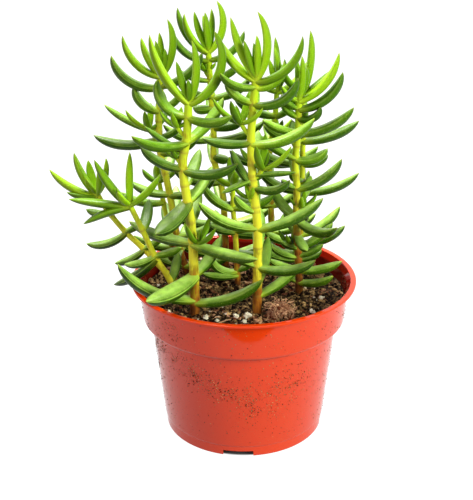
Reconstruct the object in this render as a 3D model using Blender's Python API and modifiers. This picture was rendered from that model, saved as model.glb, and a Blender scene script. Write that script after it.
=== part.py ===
"""Potted crassula: a branching succulent of eleven leafy stems in a plastic nursery pot of soil.

Blender 4.5, metres, +Z up. The pot stands on z = 0 and its axis is the world Z axis.
The viewer of the reference picture looks along +Y, so -Y is the front and +X the right.
Dimensions are named in millimetres and turned into metres where points are made.
"""

import math
import random

import bmesh
import bpy
import numpy as np

MM = 0.001

# The pot: outside profile, inside profile, foot.
LIP_R = 52.5
LIP_TOP = 74.5
LIP_LOW = 73.3
LIP_INNER_R = 50.0
COLLAR_TOP_R = 49.2
COLLAR_LOW_R = 47.5
COLLAR_LOW_Z = 55.6
BODY_TOP_R = 43.8
BODY_TOP_Z = 54.0
FOOT_LINE_Z = 5.5
BASE_R = 37.9
WALL = 1.1
FLOOR_LOW = 3.2
FLOOR_TOP = 4.4
PAD_R = 7.0
POT_STEPS = 52
NOTCH_COUNT = 4
NOTCH_WIDTH = 14.0
NOTCH_HEIGHT = 2.6
NOTCH_TURN = -94.0

# The soil fills the pot to a little below the rim.
GAP = 0.3
SOIL_TOP = 67.0
SOIL_R = 47.2
SOIL_STEPS = 36
SOIL_RINGS = (0.0, 9.0, 17.0, 25.0, 33.0, 41.0)
SOIL_BUMP = 0.7
STEM_FOOT = 57.0
GRAINS = (
    (0.5, -33, 3.2), (-8, -37, 2.2), (15, -37, 2.6), (31, -23, 3.0), (36, -9, 2.4),
    (38, 8, 2.2), (-34, -24, 2.4), (-12, -32, 2.6), (14, 6, 2.4), (30, 33, 2.2),
)
TUFT_AT = (16.5, -27.0)
TUFT_R = 6.5

# Leaves.
RINGS = {"leaf": (0.0, 0.34, 0.74), "tip": (0.0, 0.5), "bud": (0.0, 0.5)}
SECTION = ((0.92, 0.34), (-0.92, 0.34), (-0.55, -0.8), (0.55, -0.8))
SPREAD = 1.1
STATIONS = 12
CLEAR = 0.7
OWN_CLEAR = -1.6
WIDTHS = {"leaf": (3.6, 0.09), "tip": (3.0, 0.075), "bud": (1.6, 0.12), "stalk": (1.9, 0.0)}
FULLEST = {"leaf": 0.52, "tip": 0.4, "bud": 0.4}
STALK_R = 0.95
STALK_RISE = (35, 70)
STEM_SIDES = 6
STEM_SPREAD = 1.04
HOLE_SIDES = 12
SHOOT_LEAVES = ((1.0, 25, 60), (0.95, 35, 70), (0.8, 20, 55), (0.9, 40, 72), (0.5, 65, 80))

# Each leafy stem, in mm and degrees: way-points from the soil up, radius at the soil and at the
# tip, then the opposite pairs as height, direction of the first leaf and two leaves (None for a
# lost one), each as length, elevation where it leaves the stem, elevation at its point and,
# where it isn't the usual one, its width. The leaves round the tip are direction, length and the
# same two elevations. Side shoots are height, direction, stalk and leaf length. Direction 0 is
# +X and -90 is the front.
STEMS = {
    "a": dict(
        path=[
            (-22, -25, 67), (-22, -25, 87), (-23, -24, 110), (-26, -24, 135), (-24, -24, 150),
            (-23, -23, 165),
        ],
        radii=(2.2, 1.7),
        pairs=[
            (73, -8, (35, 4, 46), None),
            (74, 11, None, (40.5, -8, 36)),
            (86, -126, (30, -14, 6, 9.2), (24, 10, 50)),
            (101, -32, (35, -4, 8), (38, -10, 12, 6.6)),
            (111, 80, (22, 10, 45), None),
            (120, -126, (24, -28, -6, 8.4), (22, 15, 45)),
            (128, 75, (22, 10, 48), None),
            (135, -5, (25, -20, 38), (21, 6, 52)),
            (143, 178, (20, 28, 40, 3.6), None),
            (147, -142, (28, -4, 36), (26, 20, 55)),
            (158, -22, (21, -18, 34), (23, -8, 100)),
        ],
        tip=[
            (8, 36, 22, 118), (185, 33, 44, 80, 5.6), (10, 26, 70, 102), (200, 18, 64, 84),
            (-90, 10, 66, 84),
        ],
        shoots=[(98, -40, 3, 14), (148, 172, 5, 10), (136, 172, 3, 8)],
    ),
    "b": dict(
        path=[
            (6, -24, 67), (6, -24, 91), (6, -24, 108), (4, -23, 128), (3, -22, 147),
            (4, -21, 163), (5, -21, 174),
        ],
        radii=(2.1, 1.6),
        pairs=[
            (76, 25, (24, 14, 44), None),
            (82, 65, (22, 34, 78), None),
            (90, -6, (27, -16, 36), (18, 18, 28)),
            (99, 84, (24, 12, 45), None),
            (108, 3, (32, 8, 42), (29, 0, 48)),
            (116, 178, (12, 15, 60, 5), None),
            (118, 95, (22, 12, 48), None),
            (127, -14, (18, -20, 52), (18, 48, 68)),
            (130, -158, (15, -8, -28, 3.4), (5, 20, 40)),
            (132, -14, (19, 12, 4, 3.4), None),
            (137, 80, (20, 12, 50), None),
            (146, 2, (30, -6, 48), (21, -6, 20)),
            (156, 88, (22, 15, 55), None),
            (163, -10, (24, -12, 76), (16, 6, 70)),
            (170, 10, (18, -8, 88), (18, -4, 52)),
        ],
        tip=[
            (-4, 29, 6, 84), (180, 27, 26, 62), (168, 28, 50, 84), (6, 29, 60, 118),
            (200, 17, 60, 84), (-85, 18, 78, 92), (110, 14, 68, 86),
        ],
        shoots=[(129, -18, 6, 17), (148, 166, 6, 16), (118, 183, 3, 9)],
    ),
    "c": dict(
        path=[
            (26, -1, 67), (25, -1, 90), (24, -1, 103), (24, 0, 118), (23, 0, 131), (24, 0, 144),
            (24, 0, 160),
        ],
        radii=(1.8, 1.4),
        pairs=[
            (72, -28, (19, 4, 38), (14, 10, 40)),
            (78, -10, (21, 0, 30), (15, 5, 30)),
            (85, 172, (15, 0, 45), (13, 20, 35)),
            (89, 12, (20, 22, 48), (9, 16, 30)),
            (96, -70, (13, -30, 0), (18, 10, 45)),
            (104, -48, (27, -28, 40), (20, 10, 50)),
            (111, 80, (18, 10, 48), None),
            (118, 0, (25, 10, 58), (8, 15, 40)),
            (125, 85, (18, 10, 50), None),
            (132, 4, (16, -15, 50, 6), (20, 24, 44)),
            (138, 88, (16, 12, 50), None),
            (144, -3, (28, 4, 50), (17, 6, 32)),
            (151, -16, (12.5, -14, 74, 5.2), (10, 20, 60)),
            (155, 2, (26.5, 6, 74), (10, 20, 60)),
        ],
        tip=[
            (6, 28.5, 22, 80), (178, 10, 10, 50), (120, 18, 76, 88), (-75, 20, 74, 88),
            (20, 14, 66, 84),
        ],
        shoots=[(85.5, 160, 4, 9), (105, 0, 3, 9)],
    ),
    "d": dict(
        path=[(-3, 7, 67), (-4, 7, 93), (-5, 6, 106), (-5, 5, 119)],
        radii=(1.4, 1.1),
        pairs=[
            (72, 205, (18, 2, 20, 5), None),
            (74, 178, (20, -16, 84, 6), (8, 20, 45)),
            (94, 170, (13, 5, 28, 5), (9, 10, 50)),
            (106, 175, (19, 22, 62, 6), (21, 0, 42, 5.4)),
        ],
        tip=[
            (10, 13, 15, 50), (190, 13, 20, 60), (100, 14, 30, 70), (-80, 13, 25, 65),
            (40, 9, 60, 80),
        ],
        shoots=[],
    ),
    "e": dict(
        path=[(-30, -9, 67), (-34, -12, 78), (-40, -15, 91), (-45, -18, 105), (-50, -20, 118)],
        radii=(1.4, 1.2),
        pairs=[
            (77, 60, (14, 45, 75), None),
            (90, 160, (28, -46, -28), None),
            (91, 182, (15, -32, -2), (13, 15, 32)),
            (105, 80, (18, 10, 50), None),
        ],
        tip=[
            (182, 22, -4, -36), (176, 27, 8, 2), (165, 25, 42, 62), (-10, 21, 36, 56),
            (170, 24, 86, 100), (-120, 11, 30, 60), (200, 9, 40, 70),
        ],
        shoots=[],
    ),
    "f": dict(
        path=[(-32, 7, 67), (-40, 6, 77), (-47, 5, 86), (-55, 4, 95), (-63, 2, 107), (-67, 2, 115)],
        radii=(1.4, 1.2),
        pairs=[
            (86, 180, (16, -44, -10), (12, 20, 50)),
            (95, 184, (20, -44, 14), (12, 20, 55)),
            (105, 186, (11, 0, 22), (13, 25, 65)),
        ],
        tip=[
            (180, 25, 12, 50), (196, 14, 0, 24), (170, 22, 50, 76), (-70, 17, 55, 82),
            (-5, 18, 60, 88), (120, 16, 40, 75), (210, 9, 45, 70),
        ],
        shoots=[],
    ),
    "g": dict(
        path=[
            (-27, 17, 67), (-31, 15, 82), (-34, 14, 105), (-36, 13, 118), (-38.5, 12, 133),
            (-38.5, 12, 145), (-37, 12, 168),
        ],
        radii=(1.8, 1.4),
        pairs=[
            (73, -8, (24, 4, 30, 6.2), (18, 0, 30, 5.6)),
            (81, 80, (20, 5, 40), (20, -5, 35)),
            (89, -8, (24, 5, 45, 6.2), (24, -5, 35)),
            (99, 85, (22, 5, 40), (20, -5, 30)),
            (110, -8, (24, 0, 45), (20, -5, 35)),
            (121, 85, (20, 5, 45), None),
            (131, 5, (20, 0, 50), None),
            (138, 178, (31, -22, 26), (12, 15, 45)),
            (141, 176, (28, 14, 36, 4.4), None),
            (146, 88, (22, 5, 50), None),
            (151, 178, (17, 8, 84, 6), (14, 20, 60)),
            (162, 184, (28, -8, 76), (25, 10, 66)),
        ],
        tip=[
            (178, 26, 14, 82), (165, 19, 48, 78), (10, 26, 54, 110), (-110, 17, 62, 84),
            (-40, 12, 70, 84), (100, 18, 70, 86),
        ],
        shoots=[(136, 182, 6, 14)],
    ),
    "h": dict(
        path=[
            (-9, 28, 67), (-10, 24, 105), (-14, 21, 125), (-14, 20, 140), (-15, 20, 157),
            (-16, 20, 177),
        ],
        radii=(1.7, 1.3),
        pairs=[
            (73, 8, (26, 4, 26, 6.4), (26, 4, 26, 6.4)),
            (82, 100, (22, 5, 40), None),
            (91, 10, (26, -5, 40, 6.4), (26, -5, 40, 6.4)),
            (102, 100, (22, 5, 40), (22, 5, 40)),
            (113, 8, (27, -5, 42), (26, -5, 42)),
            (124, 98, (22, 5, 45), None),
            (127, 2, (8, -22, -6, 6), None),
            (135, 5, (26, -5, 45), (25, -8, 40)),
            (141, 3, (14, 4, 14, 6), None),
            (146, 98, (20, 5, 50), (20, 5, 45)),
            (150, 0, None, (9, -14, 10, 6)),
            (155, 5, (21, 0, 55), (18, 5, 50)),
            (163, 178, (15, 0, 36, 3.8), (16, 10, 50)),
            (172, 180, (22.5, 2, 76, 4.8), (21.5, 4, 72, 4.8)),
        ],
        tip=[
            (166, 25, 26, 82), (186, 21, 32, 86), (2, 24.5, 42, 118), (190, 19, 52, 90),
            (-110, 18, 68, 88), (75, 18, 64, 84), (110, 15, 66, 84),
        ],
        shoots=[(163, 150, 3, 9)],
    ),
    "i": dict(
        path=[(14, 30, 67), (13, 24, 102), (12, 20, 128), (14, 17, 143), (15, 16, 160)],
        radii=(1.6, 1.2),
        pairs=[
            (73, 5, (24, 4, 30, 6.2), (24, 4, 30, 6.2)),
            (80, 95, (20, 5, 40), (20, 5, 40)),
            (86, 5, (24, 0, 42), (26, -2, 34, 6.2)),
            (94, 95, (20, 5, 40), None),
            (101, 5, (26, -5, 42), (26, -5, 42)),
            (112, 95, (22, 5, 45), (20, 5, 45)),
            (123, 8, (25, -5, 46), (25, -5, 46)),
            (135, 95, (22, 5, 45), (20, 5, 45)),
            (147, 5, (22, 5, 56), (22, 5, 50)),
        ],
        tip=[
            (10, 20, 14, 72), (190, 20, 20, 74), (100, 24, 66, 86), (-70, 21, 66, 88),
            (40, 14, 60, 84), (215, 15, 60, 84),
        ],
        shoots=[(135, 10, 3, 9)],
    ),
    "j": dict(
        path=[(-34, 24, 67), (-37, 26, 90), (-41, 28, 113)],
        radii=(1.3, 1.1),
        pairs=[
            (78, 10, (20, 5, 40), (20, 5, 40)),
            (89, 100, (18, 5, 45), (18, 0, 40)),
            (101, 10, (18, 5, 45), (22, -5, 40)),
        ],
        tip=[
            (180, 10, 20, 60), (0, 15, 25, 60), (90, 16, 30, 65), (-90, 14, 35, 70),
            (45, 9, 60, 80),
        ],
        shoots=[],
    ),
    "k": dict(
        path=[(27, 22, 67), (27, 16, 105), (27, 13, 136), (26.5, 12, 150), (26.5, 12, 160)],
        radii=(1.6, 1.2),
        pairs=[
            (74, 10, (12, 4, 34), (20, 4, 30, 5.8)),
            (83, 0, (24, 2, 44), (20, 0, 40)),
            (88, 12, (24, 10, 54), None),
            (98, 90, (22, 5, 40), (18, 5, 40)),
            (111, 0, (29, -2, 42, 5.6), (24, 0, 45)),
            (117, 90, (22, 5, 45), (18, 5, 45)),
            (125, 5, (13, -5, 45), (22, 0, 45)),
            (136.5, 2, (27.5, 4, 36), (20, 0, 45)),
            (148, 92, (20, 10, 55), (16, 10, 50)),
        ],
        tip=[
            (0, 18, 24, 62), (10, 17, 24, 48), (50, 28, 66, 96), (180, 18, 30, 76),
            (-90, 14, 60, 82),
        ],
        shoots=[],
    ),
}
ORDER = "abcefgdkhij"


def clear_scene():
    for obj in list(bpy.data.objects):
        bpy.data.objects.remove(obj, do_unlink=True)
    scene = bpy.context.scene
    scene.unit_settings.system = "METRIC"
    scene.unit_settings.scale_length = 1.0


def collection(name, helper=False):
    made = bpy.data.collections.new(name)
    bpy.context.scene.collection.children.link(made)
    made.hide_render = helper
    return made


def material(name, colour, roughness):
    made = bpy.data.materials.new(name)
    made.use_nodes = True
    shader = made.node_tree.nodes["Principled BSDF"]
    shader.inputs["Base Color"].default_value = (*colour, 1)
    shader.inputs["Roughness"].default_value = roughness
    return made


def mesh_object(name, points, faces, into):
    """Object from points in mm and faces, placed at the origin."""
    mesh = bpy.data.meshes.new(name)
    mesh.from_pydata([tuple(float(c) * MM for c in point) for point in points], [], faces)
    mesh.update()
    obj = bpy.data.objects.new(name, mesh)
    into.objects.link(obj)
    return obj


def applied(obj):
    """The object with its modifiers worked into its mesh."""
    graph = bpy.context.evaluated_depsgraph_get()
    graph.update()
    mesh = bpy.data.meshes.new_from_object(obj.evaluated_get(graph))
    obj.modifiers.clear()
    old = obj.data
    obj.data = mesh
    bpy.data.meshes.remove(old)
    mesh.name = obj.name
    return obj


def helper_look(obj):
    obj.hide_render = True
    obj.display_type = "WIRE"


def boolean(obj, operation, others, solver="EXACT"):
    """One Boolean with all the objects of a collection, applied; the others are then removed."""
    modifier = obj.modifiers.new("join", "BOOLEAN")
    modifier.operation = operation
    modifier.solver = solver
    modifier.operand_type = "COLLECTION"
    modifier.collection = others
    applied(obj)
    for other in list(others.objects):
        bpy.data.objects.remove(other, do_unlink=True)
    bpy.data.collections.remove(others)
    return obj


# Shape of the plant. Lengths in mm, angles in degrees.


def stem_line(path, step=3.0):
    """Smooth line through the way-points, led straight down into the soil."""
    points = np.array(path, float)
    points = np.vstack([points[0] - (0, 0, SOIL_TOP - STEM_FOOT), points])
    ends = np.vstack([2 * points[0] - points[1], points, 2 * points[-1] - points[-2]])
    line = []
    for i in range(1, len(points)):
        p0, p1, p2, p3 = ends[i - 1], ends[i], ends[i + 1], ends[i + 2]
        count = max(2, int(np.linalg.norm(p2 - p1) / step))
        for t in np.arange(count) / count:
            curve = 2 * p0 - 5 * p1 + 4 * p2 - p3
            cubic = 3 * p1 - p0 - 3 * p2 + p3
            line.append(0.5 * (2 * p1 + (p2 - p0) * t + curve * t * t + cubic * t ** 3))
    line.append(points[-1])
    line = np.array(line)
    buried = line[:, 2] < path[0][2] + 1.5
    line[buried, 0] = path[0][0]
    line[buried, 1] = path[0][1]
    return line


def at_height(line, z):
    """Point of a stem's line at a height."""
    return np.array([np.interp(z, line[:, 2], line[:, axis]) for axis in range(3)])


def leaf_line(leaf, stations=STATIONS):
    """Centre line of a leaf that leaves its stem at one elevation and curls to another."""
    s = (np.arange(stations) + 0.5) / stations
    rise = np.radians(leaf["start"] + (leaf["end"] - leaf["start"]) * s)
    turn = np.radians(leaf["azimuth"] + leaf["sway"] * s)
    steps = np.stack([np.cos(rise) * np.cos(turn), np.cos(rise) * np.sin(turn), np.sin(rise)], 1)
    way = np.cumsum(steps, 0) * leaf["length"] / stations
    return np.vstack([leaf["root"], leaf["root"] + way])


def half_width(s, leaf):
    """Full spindle: a little narrow where it clasps the stem, and pointed only near its end."""
    full = FULLEST[leaf["kind"]]
    rise = 0.68 + 0.32 * np.sin(np.pi / 2 * np.minimum(np.asarray(s) / full, 1))
    fall = 1 - np.maximum(0, (np.asarray(s) - full) / (1 - full)) ** 2.6
    return 0.5 * leaf["width"] * rise * np.maximum(fall, 0) ** 0.78


def new_leaf(kind, root, azimuth, shape, sway):
    """A leaf from its length, two elevations and, where it isn't the usual one, its width."""
    length, start, end, *width = shape
    least, share = WIDTHS[kind]
    width = width[0] if width else least + share * length
    return dict(kind=kind, root=root, azimuth=azimuth, length=length, start=start, end=end,
                sway=sway, width=width)


def wanted_leaves(name, stem):
    """Line, stalks of side shoots and all leaves of one stem, before crossings are cleared."""
    rng = random.Random("crassula " + name)
    line = stem_line(stem["path"])
    leaves = []
    for z, azimuth, first, second in stem["pairs"]:
        for turn, shape in ((0, first), (180, second)):
            if shape is None:
                continue
            root = at_height(line, z + (0.5 if turn else 0))
            aim = azimuth + turn + rng.uniform(-3, 3)
            leaves.append(new_leaf("leaf", root, aim, shape, rng.uniform(-7, 7)))
    for k, (azimuth, *shape) in enumerate(stem["tip"]):
        root = line[-1] - (0, 0, 1.5 - 0.3 * k)
        leaves.append(new_leaf("tip", root, azimuth, shape, rng.uniform(-6, 6)))
    stalks = []
    for z, azimuth, stalk, length in stem["shoots"]:
        shape = (stalk + 1.5, *STALK_RISE)
        stalks.append(new_leaf("stalk", at_height(line, z + 1), azimuth, shape, 0))
        root = leaf_line(stalks[-1])[-1] - (0, 0, 0.4)
        for k, (share, start, end) in enumerate(SHOOT_LEAVES):
            aim = azimuth + 90 * k + rng.uniform(-14, 14)
            shape = (length * share, start, end)
            leaves.append(new_leaf("bud", root, aim, shape, rng.uniform(-8, 8)))
    return line, stalks, leaves


def room(points, radii, others, other_radii):
    """Least gap between one chain of balls and all the others."""
    if not len(others):
        return 99.0
    apart = np.linalg.norm(points[:, None] - others[None], axis=2)
    return (apart - radii[:, None] - other_radii[None]).min()


def rim_room(points, radii):
    """Least gap of a leaf above the soil and above the pot's lip."""
    r = np.hypot(points[:, 0], points[:, 1])
    low = points[:, 2] - radii
    inside = np.where(r < LIP_R + 2.5, low - SOIL_TOP - 2.5, 99)
    over = np.where((r > 45) & (r < LIP_R + 2.5), low - LIP_TOP, 99)
    return min(inside.min(), over.min())


def bends():
    """Ways to turn, lift and shorten a leaf, the mildest first."""
    found = []
    for turn in (0, 5, -5, 10, -10, 16, -16, 24, -24, 34, -34):
        for lift in (0, 7, -7, 14, -14, 22, -22, 32):
            for scale in (1.0, 0.92, 0.84, 0.74, 0.62):
                cost = abs(turn) / 7 + abs(lift) / 8 + (1 - scale) * 9
                found.append((cost, turn, lift, scale))
    return sorted(found)


def bent_clear(name, leaf, solid, tries):
    """The leaf, its line and radii with the mildest bend that touches no other stem."""
    others = np.vstack([part[0] for part in solid])
    other_radii = np.concatenate([part[1] for part in solid])
    owner = np.concatenate([np.full(len(part[0]), part[2]) for part in solid])
    near = np.linalg.norm(others - leaf["root"], axis=1) < leaf["length"] + 6
    foreign = near & (np.char.rstrip(owner, "+") != name)
    own = near & (owner == name + "+")
    s = np.linspace(0, 1, STATIONS + 1)
    half = STATIONS // 2
    for _, turn, lift, scale in tries:
        bent = dict(leaf, azimuth=leaf["azimuth"] + turn, length=leaf["length"] * scale,
                    start=leaf["start"] + lift * 0.5, end=leaf["end"] + lift,
                    width=leaf["width"] * (0.6 + 0.4 * scale))
        line = leaf_line(bent)
        radii = half_width(s, bent)
        if rim_room(line, radii) < 0.3:
            continue
        if room(line, radii, others[foreign], other_radii[foreign]) < CLEAR:
            continue
        crowd = room(line[half:], radii[half:], others[own], other_radii[own])
        if leaf["kind"] != "bud" and crowd < OWN_CLEAR:
            continue
        return bent, line, radii
    return None


def plant_layout():
    """Every stem's line, radii, stalks and leaves, with each leaf bent clear of other stems."""
    tries = bends()
    solid, plant = [], {}
    for name in ORDER:
        fine = stem_line(STEMS[name]["path"], 1.0)
        foot_r, tip_r = STEMS[name]["radii"]
        t = np.clip((fine[:, 2] - SOIL_TOP) / (fine[-1, 2] - SOIL_TOP), 0, 1)
        solid.append((fine, (foot_r + (tip_r - foot_r) * t) * 1.25, name))
    for name in ORDER:
        line, stalks, leaves = wanted_leaves(name, STEMS[name])
        plant[name] = {"line": line, "radii": STEMS[name]["radii"], "stalks": stalks, "leaves": []}
        for stalk in stalks:
            solid.append((leaf_line(stalk), np.full(STATIONS + 1, STALK_R + 0.15), name))
        for leaf in leaves:
            found = bent_clear(name, leaf, solid, tries)
            if found is None:
                place = [round(float(c)) for c in leaf["root"]]
                print("left out a", leaf["kind"], "of stem", name, "at", place)
                continue
            bent, centre, radii = found
            plant[name]["leaves"].append(bent)
            solid.append((centre, radii, name))
            solid.append((centre[STATIONS // 2:], radii[STATIONS // 2:], name + "+"))
    return plant


# Solids of one leafy stem.


def frames(line):
    """Direction, side and top vectors at every point of a line that never points straight down."""
    along = np.gradient(line, axis=0)
    along /= np.linalg.norm(along, axis=1)[:, None]
    flat = line[-1] - line[0]
    side = np.array([-flat[1], flat[0], 0.0])
    if np.linalg.norm(side) < 0.2:
        side = np.array([0.0, 1.0, 0.0])
    side = np.tile(side / np.linalg.norm(side), (len(line), 1))
    side -= along * (side * along).sum(1)[:, None]
    side /= np.linalg.norm(side, axis=1)[:, None]
    return along, side, np.cross(along, side)


def tube(centres, sides, tops, corners, tip=None):
    """Closed tube: rings of corners (x along side, y along top) per centre, then a cap or a tip."""
    count = len(corners[0])
    points = []
    for centre, side, top, ring in zip(centres, sides, tops, corners):
        points += [centre + side * x + top * y for x, y in ring]
    faces = [tuple(reversed(range(count)))]
    for k in range(len(centres) - 1):
        for j in range(count):
            a, b = k * count + j, k * count + (j + 1) % count
            faces.append((a, b, b + count, a + count))
    last = (len(centres) - 1) * count
    if tip is None:
        faces.append(tuple(range(last, last + count)))
    else:
        points.append(tip)
        faces += [(last + j, last + (j + 1) % count, last + count) for j in range(count)]
    return points, faces


def leaf_solid(name, leaf, into):
    """Four-sided spindle, flat above and keeled below."""
    stations = RINGS[leaf["kind"]]
    line = leaf_line(leaf)
    s = np.linspace(0, 1, len(line))
    _, side, top = frames(line)
    centres, sides, tops = [[np.array([np.interp(t, s, values[:, axis]) for axis in range(3)])
                             for t in stations] for values in (line, side, top)]
    corners = []
    for t in stations:
        r = float(half_width(t, leaf)) * SPREAD
        corners.append([(r * x, r * y) for x, y in SECTION])
    points, faces = tube(centres, sides, tops, corners, tip=line[-1])
    return mesh_object(name, points, faces, into)


def polygon(r, sides):
    """Corners of a regular polygon of a radius."""
    turns = [math.tau * j / sides for j in range(sides)]
    return [(r * math.cos(turn), r * math.sin(turn)) for turn in turns]


def stem_solid(name, line, radii, into):
    """Six-sided stem, a little thicker at the foot."""
    keep = [0, int(np.sum(line[:, 2] < SOIL_TOP + 1.5)) - 1]
    for k in range(keep[-1] + 1, len(line) - 1):
        if np.linalg.norm(line[k] - line[keep[-1]]) > 12:
            keep.append(k)
    keep.append(len(line) - 1)
    centres = line[keep]
    side = np.tile(np.array([1.0, 0.0, 0.0]), (len(centres), 1))
    top = np.tile(np.array([0.0, 1.0, 0.0]), (len(centres), 1))
    corners = []
    for centre in centres:
        t = min(1, max(0, (centre[2] - SOIL_TOP) / (line[-1, 2] - SOIL_TOP)))
        r = (radii[0] + (radii[1] - radii[0]) * t) * STEM_SPREAD
        corners.append(polygon(r, STEM_SIDES))
    points, faces = tube(list(centres), side, top, corners)
    return mesh_object(name, points, faces, into)


def stalk_solid(name, line, into):
    """Short stalk of a side shoot."""
    centres = line[::4]
    _, side, top = frames(centres)
    points, faces = tube(list(centres), side, top, [polygon(STALK_R, STEM_SIDES)] * len(centres))
    return mesh_object(name, points, faces, into)


def fill_voids(obj):
    """Leaves that cross can close off a small void between them. Its inner shell is removed."""
    work = bmesh.new()
    work.from_mesh(obj.data)
    left, shells = set(work.faces), []
    while left:
        shell, front = [], [left.pop()]
        while front:
            face = front.pop()
            shell.append(face)
            near = {other for edge in face.edges for other in edge.link_faces} & left
            left -= near
            front += near
        shells.append(shell)
    outer = max(shells, key=len)
    inner = [face for shell in shells if shell is not outer for face in shell]
    bmesh.ops.delete(work, geom=inner, context="FACES")
    work.to_mesh(obj.data)
    work.free()


def leafy_stem(name, parts, looks, into):
    """One stem joined with its leaves and side shoots into one body."""
    obj = stem_solid("stem_" + name, parts["line"], parts["radii"], into)
    others = collection("leaves_" + name, helper=True)
    for k, leaf in enumerate(parts["leaves"]):
        helper_look(leaf_solid(f"leaf_{name}_{k}", leaf, others))
    for k, stalk in enumerate(parts["stalks"]):
        helper_look(stalk_solid(f"stalk_{name}_{k}", leaf_line(stalk), others))
    boolean(obj, "UNION", others, solver="MANIFOLD")
    fill_voids(obj)
    obj.data.materials.clear()
    obj.data.materials.append(looks["plant"])
    return obj


# The pot and the soil.


def lathe(name, profile, steps, into):
    """Solid turned from a closed profile of (radius, height) in mm."""
    count = len(profile)
    pairs = [(i, (i + 1) % count) for i in range(count)]
    edges = [(i, k) for i, k in pairs if profile[i][0] > 0 or profile[k][0] > 0]
    mesh = bpy.data.meshes.new(name)
    mesh.from_pydata([(r * MM, 0.0, z * MM) for r, z in profile], edges, [])
    obj = bpy.data.objects.new(name, mesh)
    into.objects.link(obj)
    screw = obj.modifiers.new("turn", "SCREW")
    screw.axis = "Z"
    screw.angle = math.tau
    screw.steps = screw.render_steps = steps
    screw.use_merge_vertices = True
    screw.merge_threshold = 0.00001
    screw.use_normal_calculate = False
    return applied(obj)


def inner_r(z):
    """Inside radius of the pot's wall at a height."""
    heights = [FLOOR_TOP, BODY_TOP_Z - 0.5, COLLAR_LOW_Z + 0.9, LIP_LOW - 1.5]
    outside = [BASE_R + 0.2, BODY_TOP_R, COLLAR_LOW_R, COLLAR_TOP_R]
    return float(np.interp(z, heights, outside)) - WALL


def pot(looks, into):
    """Thin-walled pot: flat lip, collar, step, tapered body, foot ring with notches, centre pad."""
    inside = [FLOOR_TOP, BODY_TOP_Z - 0.5, COLLAR_LOW_Z + 0.9, LIP_LOW - 1.5]
    profile = [
        (LIP_INNER_R, LIP_TOP), (LIP_R - 0.3, LIP_TOP), (LIP_R, LIP_TOP - 0.3),
        (LIP_R, LIP_LOW + 0.2), (LIP_R - 0.3, LIP_LOW), (COLLAR_TOP_R, LIP_LOW - 0.1),
        (COLLAR_LOW_R, COLLAR_LOW_Z), (COLLAR_LOW_R - 0.5, COLLAR_LOW_Z - 0.5),
        (BODY_TOP_R, BODY_TOP_Z), (BASE_R + 0.7, FOOT_LINE_Z), (BASE_R + 0.2, FOOT_LINE_Z - 0.4),
        (BASE_R, 0.0), (BASE_R - 1.2, 0.0), (BASE_R - 1.4, FLOOR_LOW), (PAD_R + 0.6, FLOOR_LOW),
        (PAD_R, 0.0), (0.0, 0.0), (0.0, FLOOR_TOP), *[(inner_r(z), z) for z in inside],
    ]
    obj = lathe("pot", profile, POT_STEPS, into)
    cutters = collection("notch_cutters", helper=True)
    for k in range(NOTCH_COUNT):
        turn = math.radians(NOTCH_TURN + 360 * k / NOTCH_COUNT)
        out = np.array([math.cos(turn), math.sin(turn), 0.0])
        side = np.array([-out[1], out[0], 0.0])
        up = np.array([0.0, 0.0, 1.0])
        half = NOTCH_WIDTH / 2
        gate = [(-half, -1.0), (half, -1.0), (half, NOTCH_HEIGHT), (-half, NOTCH_HEIGHT)]
        ends = [out * (BASE_R - 3.5), out * (BASE_R + 3.0)]
        points, faces = tube(ends, [side] * 2, [up] * 2, [gate] * 2)
        helper_look(mesh_object(f"notch_{k}", points, faces, cutters))
    boolean(obj, "DIFFERENCE", cutters)
    obj.data.materials.clear()
    obj.data.materials.append(looks["pot"])
    return obj


def soil_height(x, y):
    """Gentle unevenness of the soil's top."""
    wave = math.sin(0.31 * x + 1.3) * math.cos(0.27 * y - 0.4) + 0.6 * math.sin(0.17 * x - 0.22 * y)
    return SOIL_TOP + SOIL_BUMP * wave / 1.6


def soil_block(into):
    """Turned block that fits the pot's inside with an uneven top."""
    points, faces, rings = [(0.0, 0.0, soil_height(0, 0))], [], []
    tops = [(r, None) for r in SOIL_RINGS[1:]] + [(SOIL_R, None)]
    walls = [(inner_r(z) - GAP, z) for z in (COLLAR_LOW_Z + 0.9, BODY_TOP_Z - 0.5)]
    walls.append((inner_r(FLOOR_TOP + GAP) - GAP, FLOOR_TOP + GAP))
    for r, z in tops + walls:
        ring = []
        for j in range(SOIL_STEPS):
            turn = math.tau * j / SOIL_STEPS
            x, y = r * math.cos(turn), r * math.sin(turn)
            ring.append(len(points))
            points.append((x, y, soil_height(x, y) if z is None else z))
        rings.append(ring)
    for j in range(SOIL_STEPS):
        k = (j + 1) % SOIL_STEPS
        faces.append((0, rings[0][j], rings[0][k]))
        for a, b in zip(rings, rings[1:]):
            faces.append((a[j], b[j], b[k], a[k]))
    faces.append(tuple(reversed(rings[-1])))
    return mesh_object("soil", points, faces, into)


def lump(name, x, y, r, squash, rng, into, level=1):
    """Rough stone sunk by half in the soil."""
    made = bmesh.new()
    bmesh.ops.create_icosphere(made, subdivisions=level, radius=1.0)
    points = [np.array(v.co) * rng.uniform(0.82, 1.1) * r for v in made.verts]
    faces = [tuple(v.index for v in face.verts) for face in made.faces]
    made.free()
    base = np.array([x, y, soil_height(x, y)])
    points = [base + p * (1, 1, squash) for p in points]
    return mesh_object(name, points, faces, into)


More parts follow.
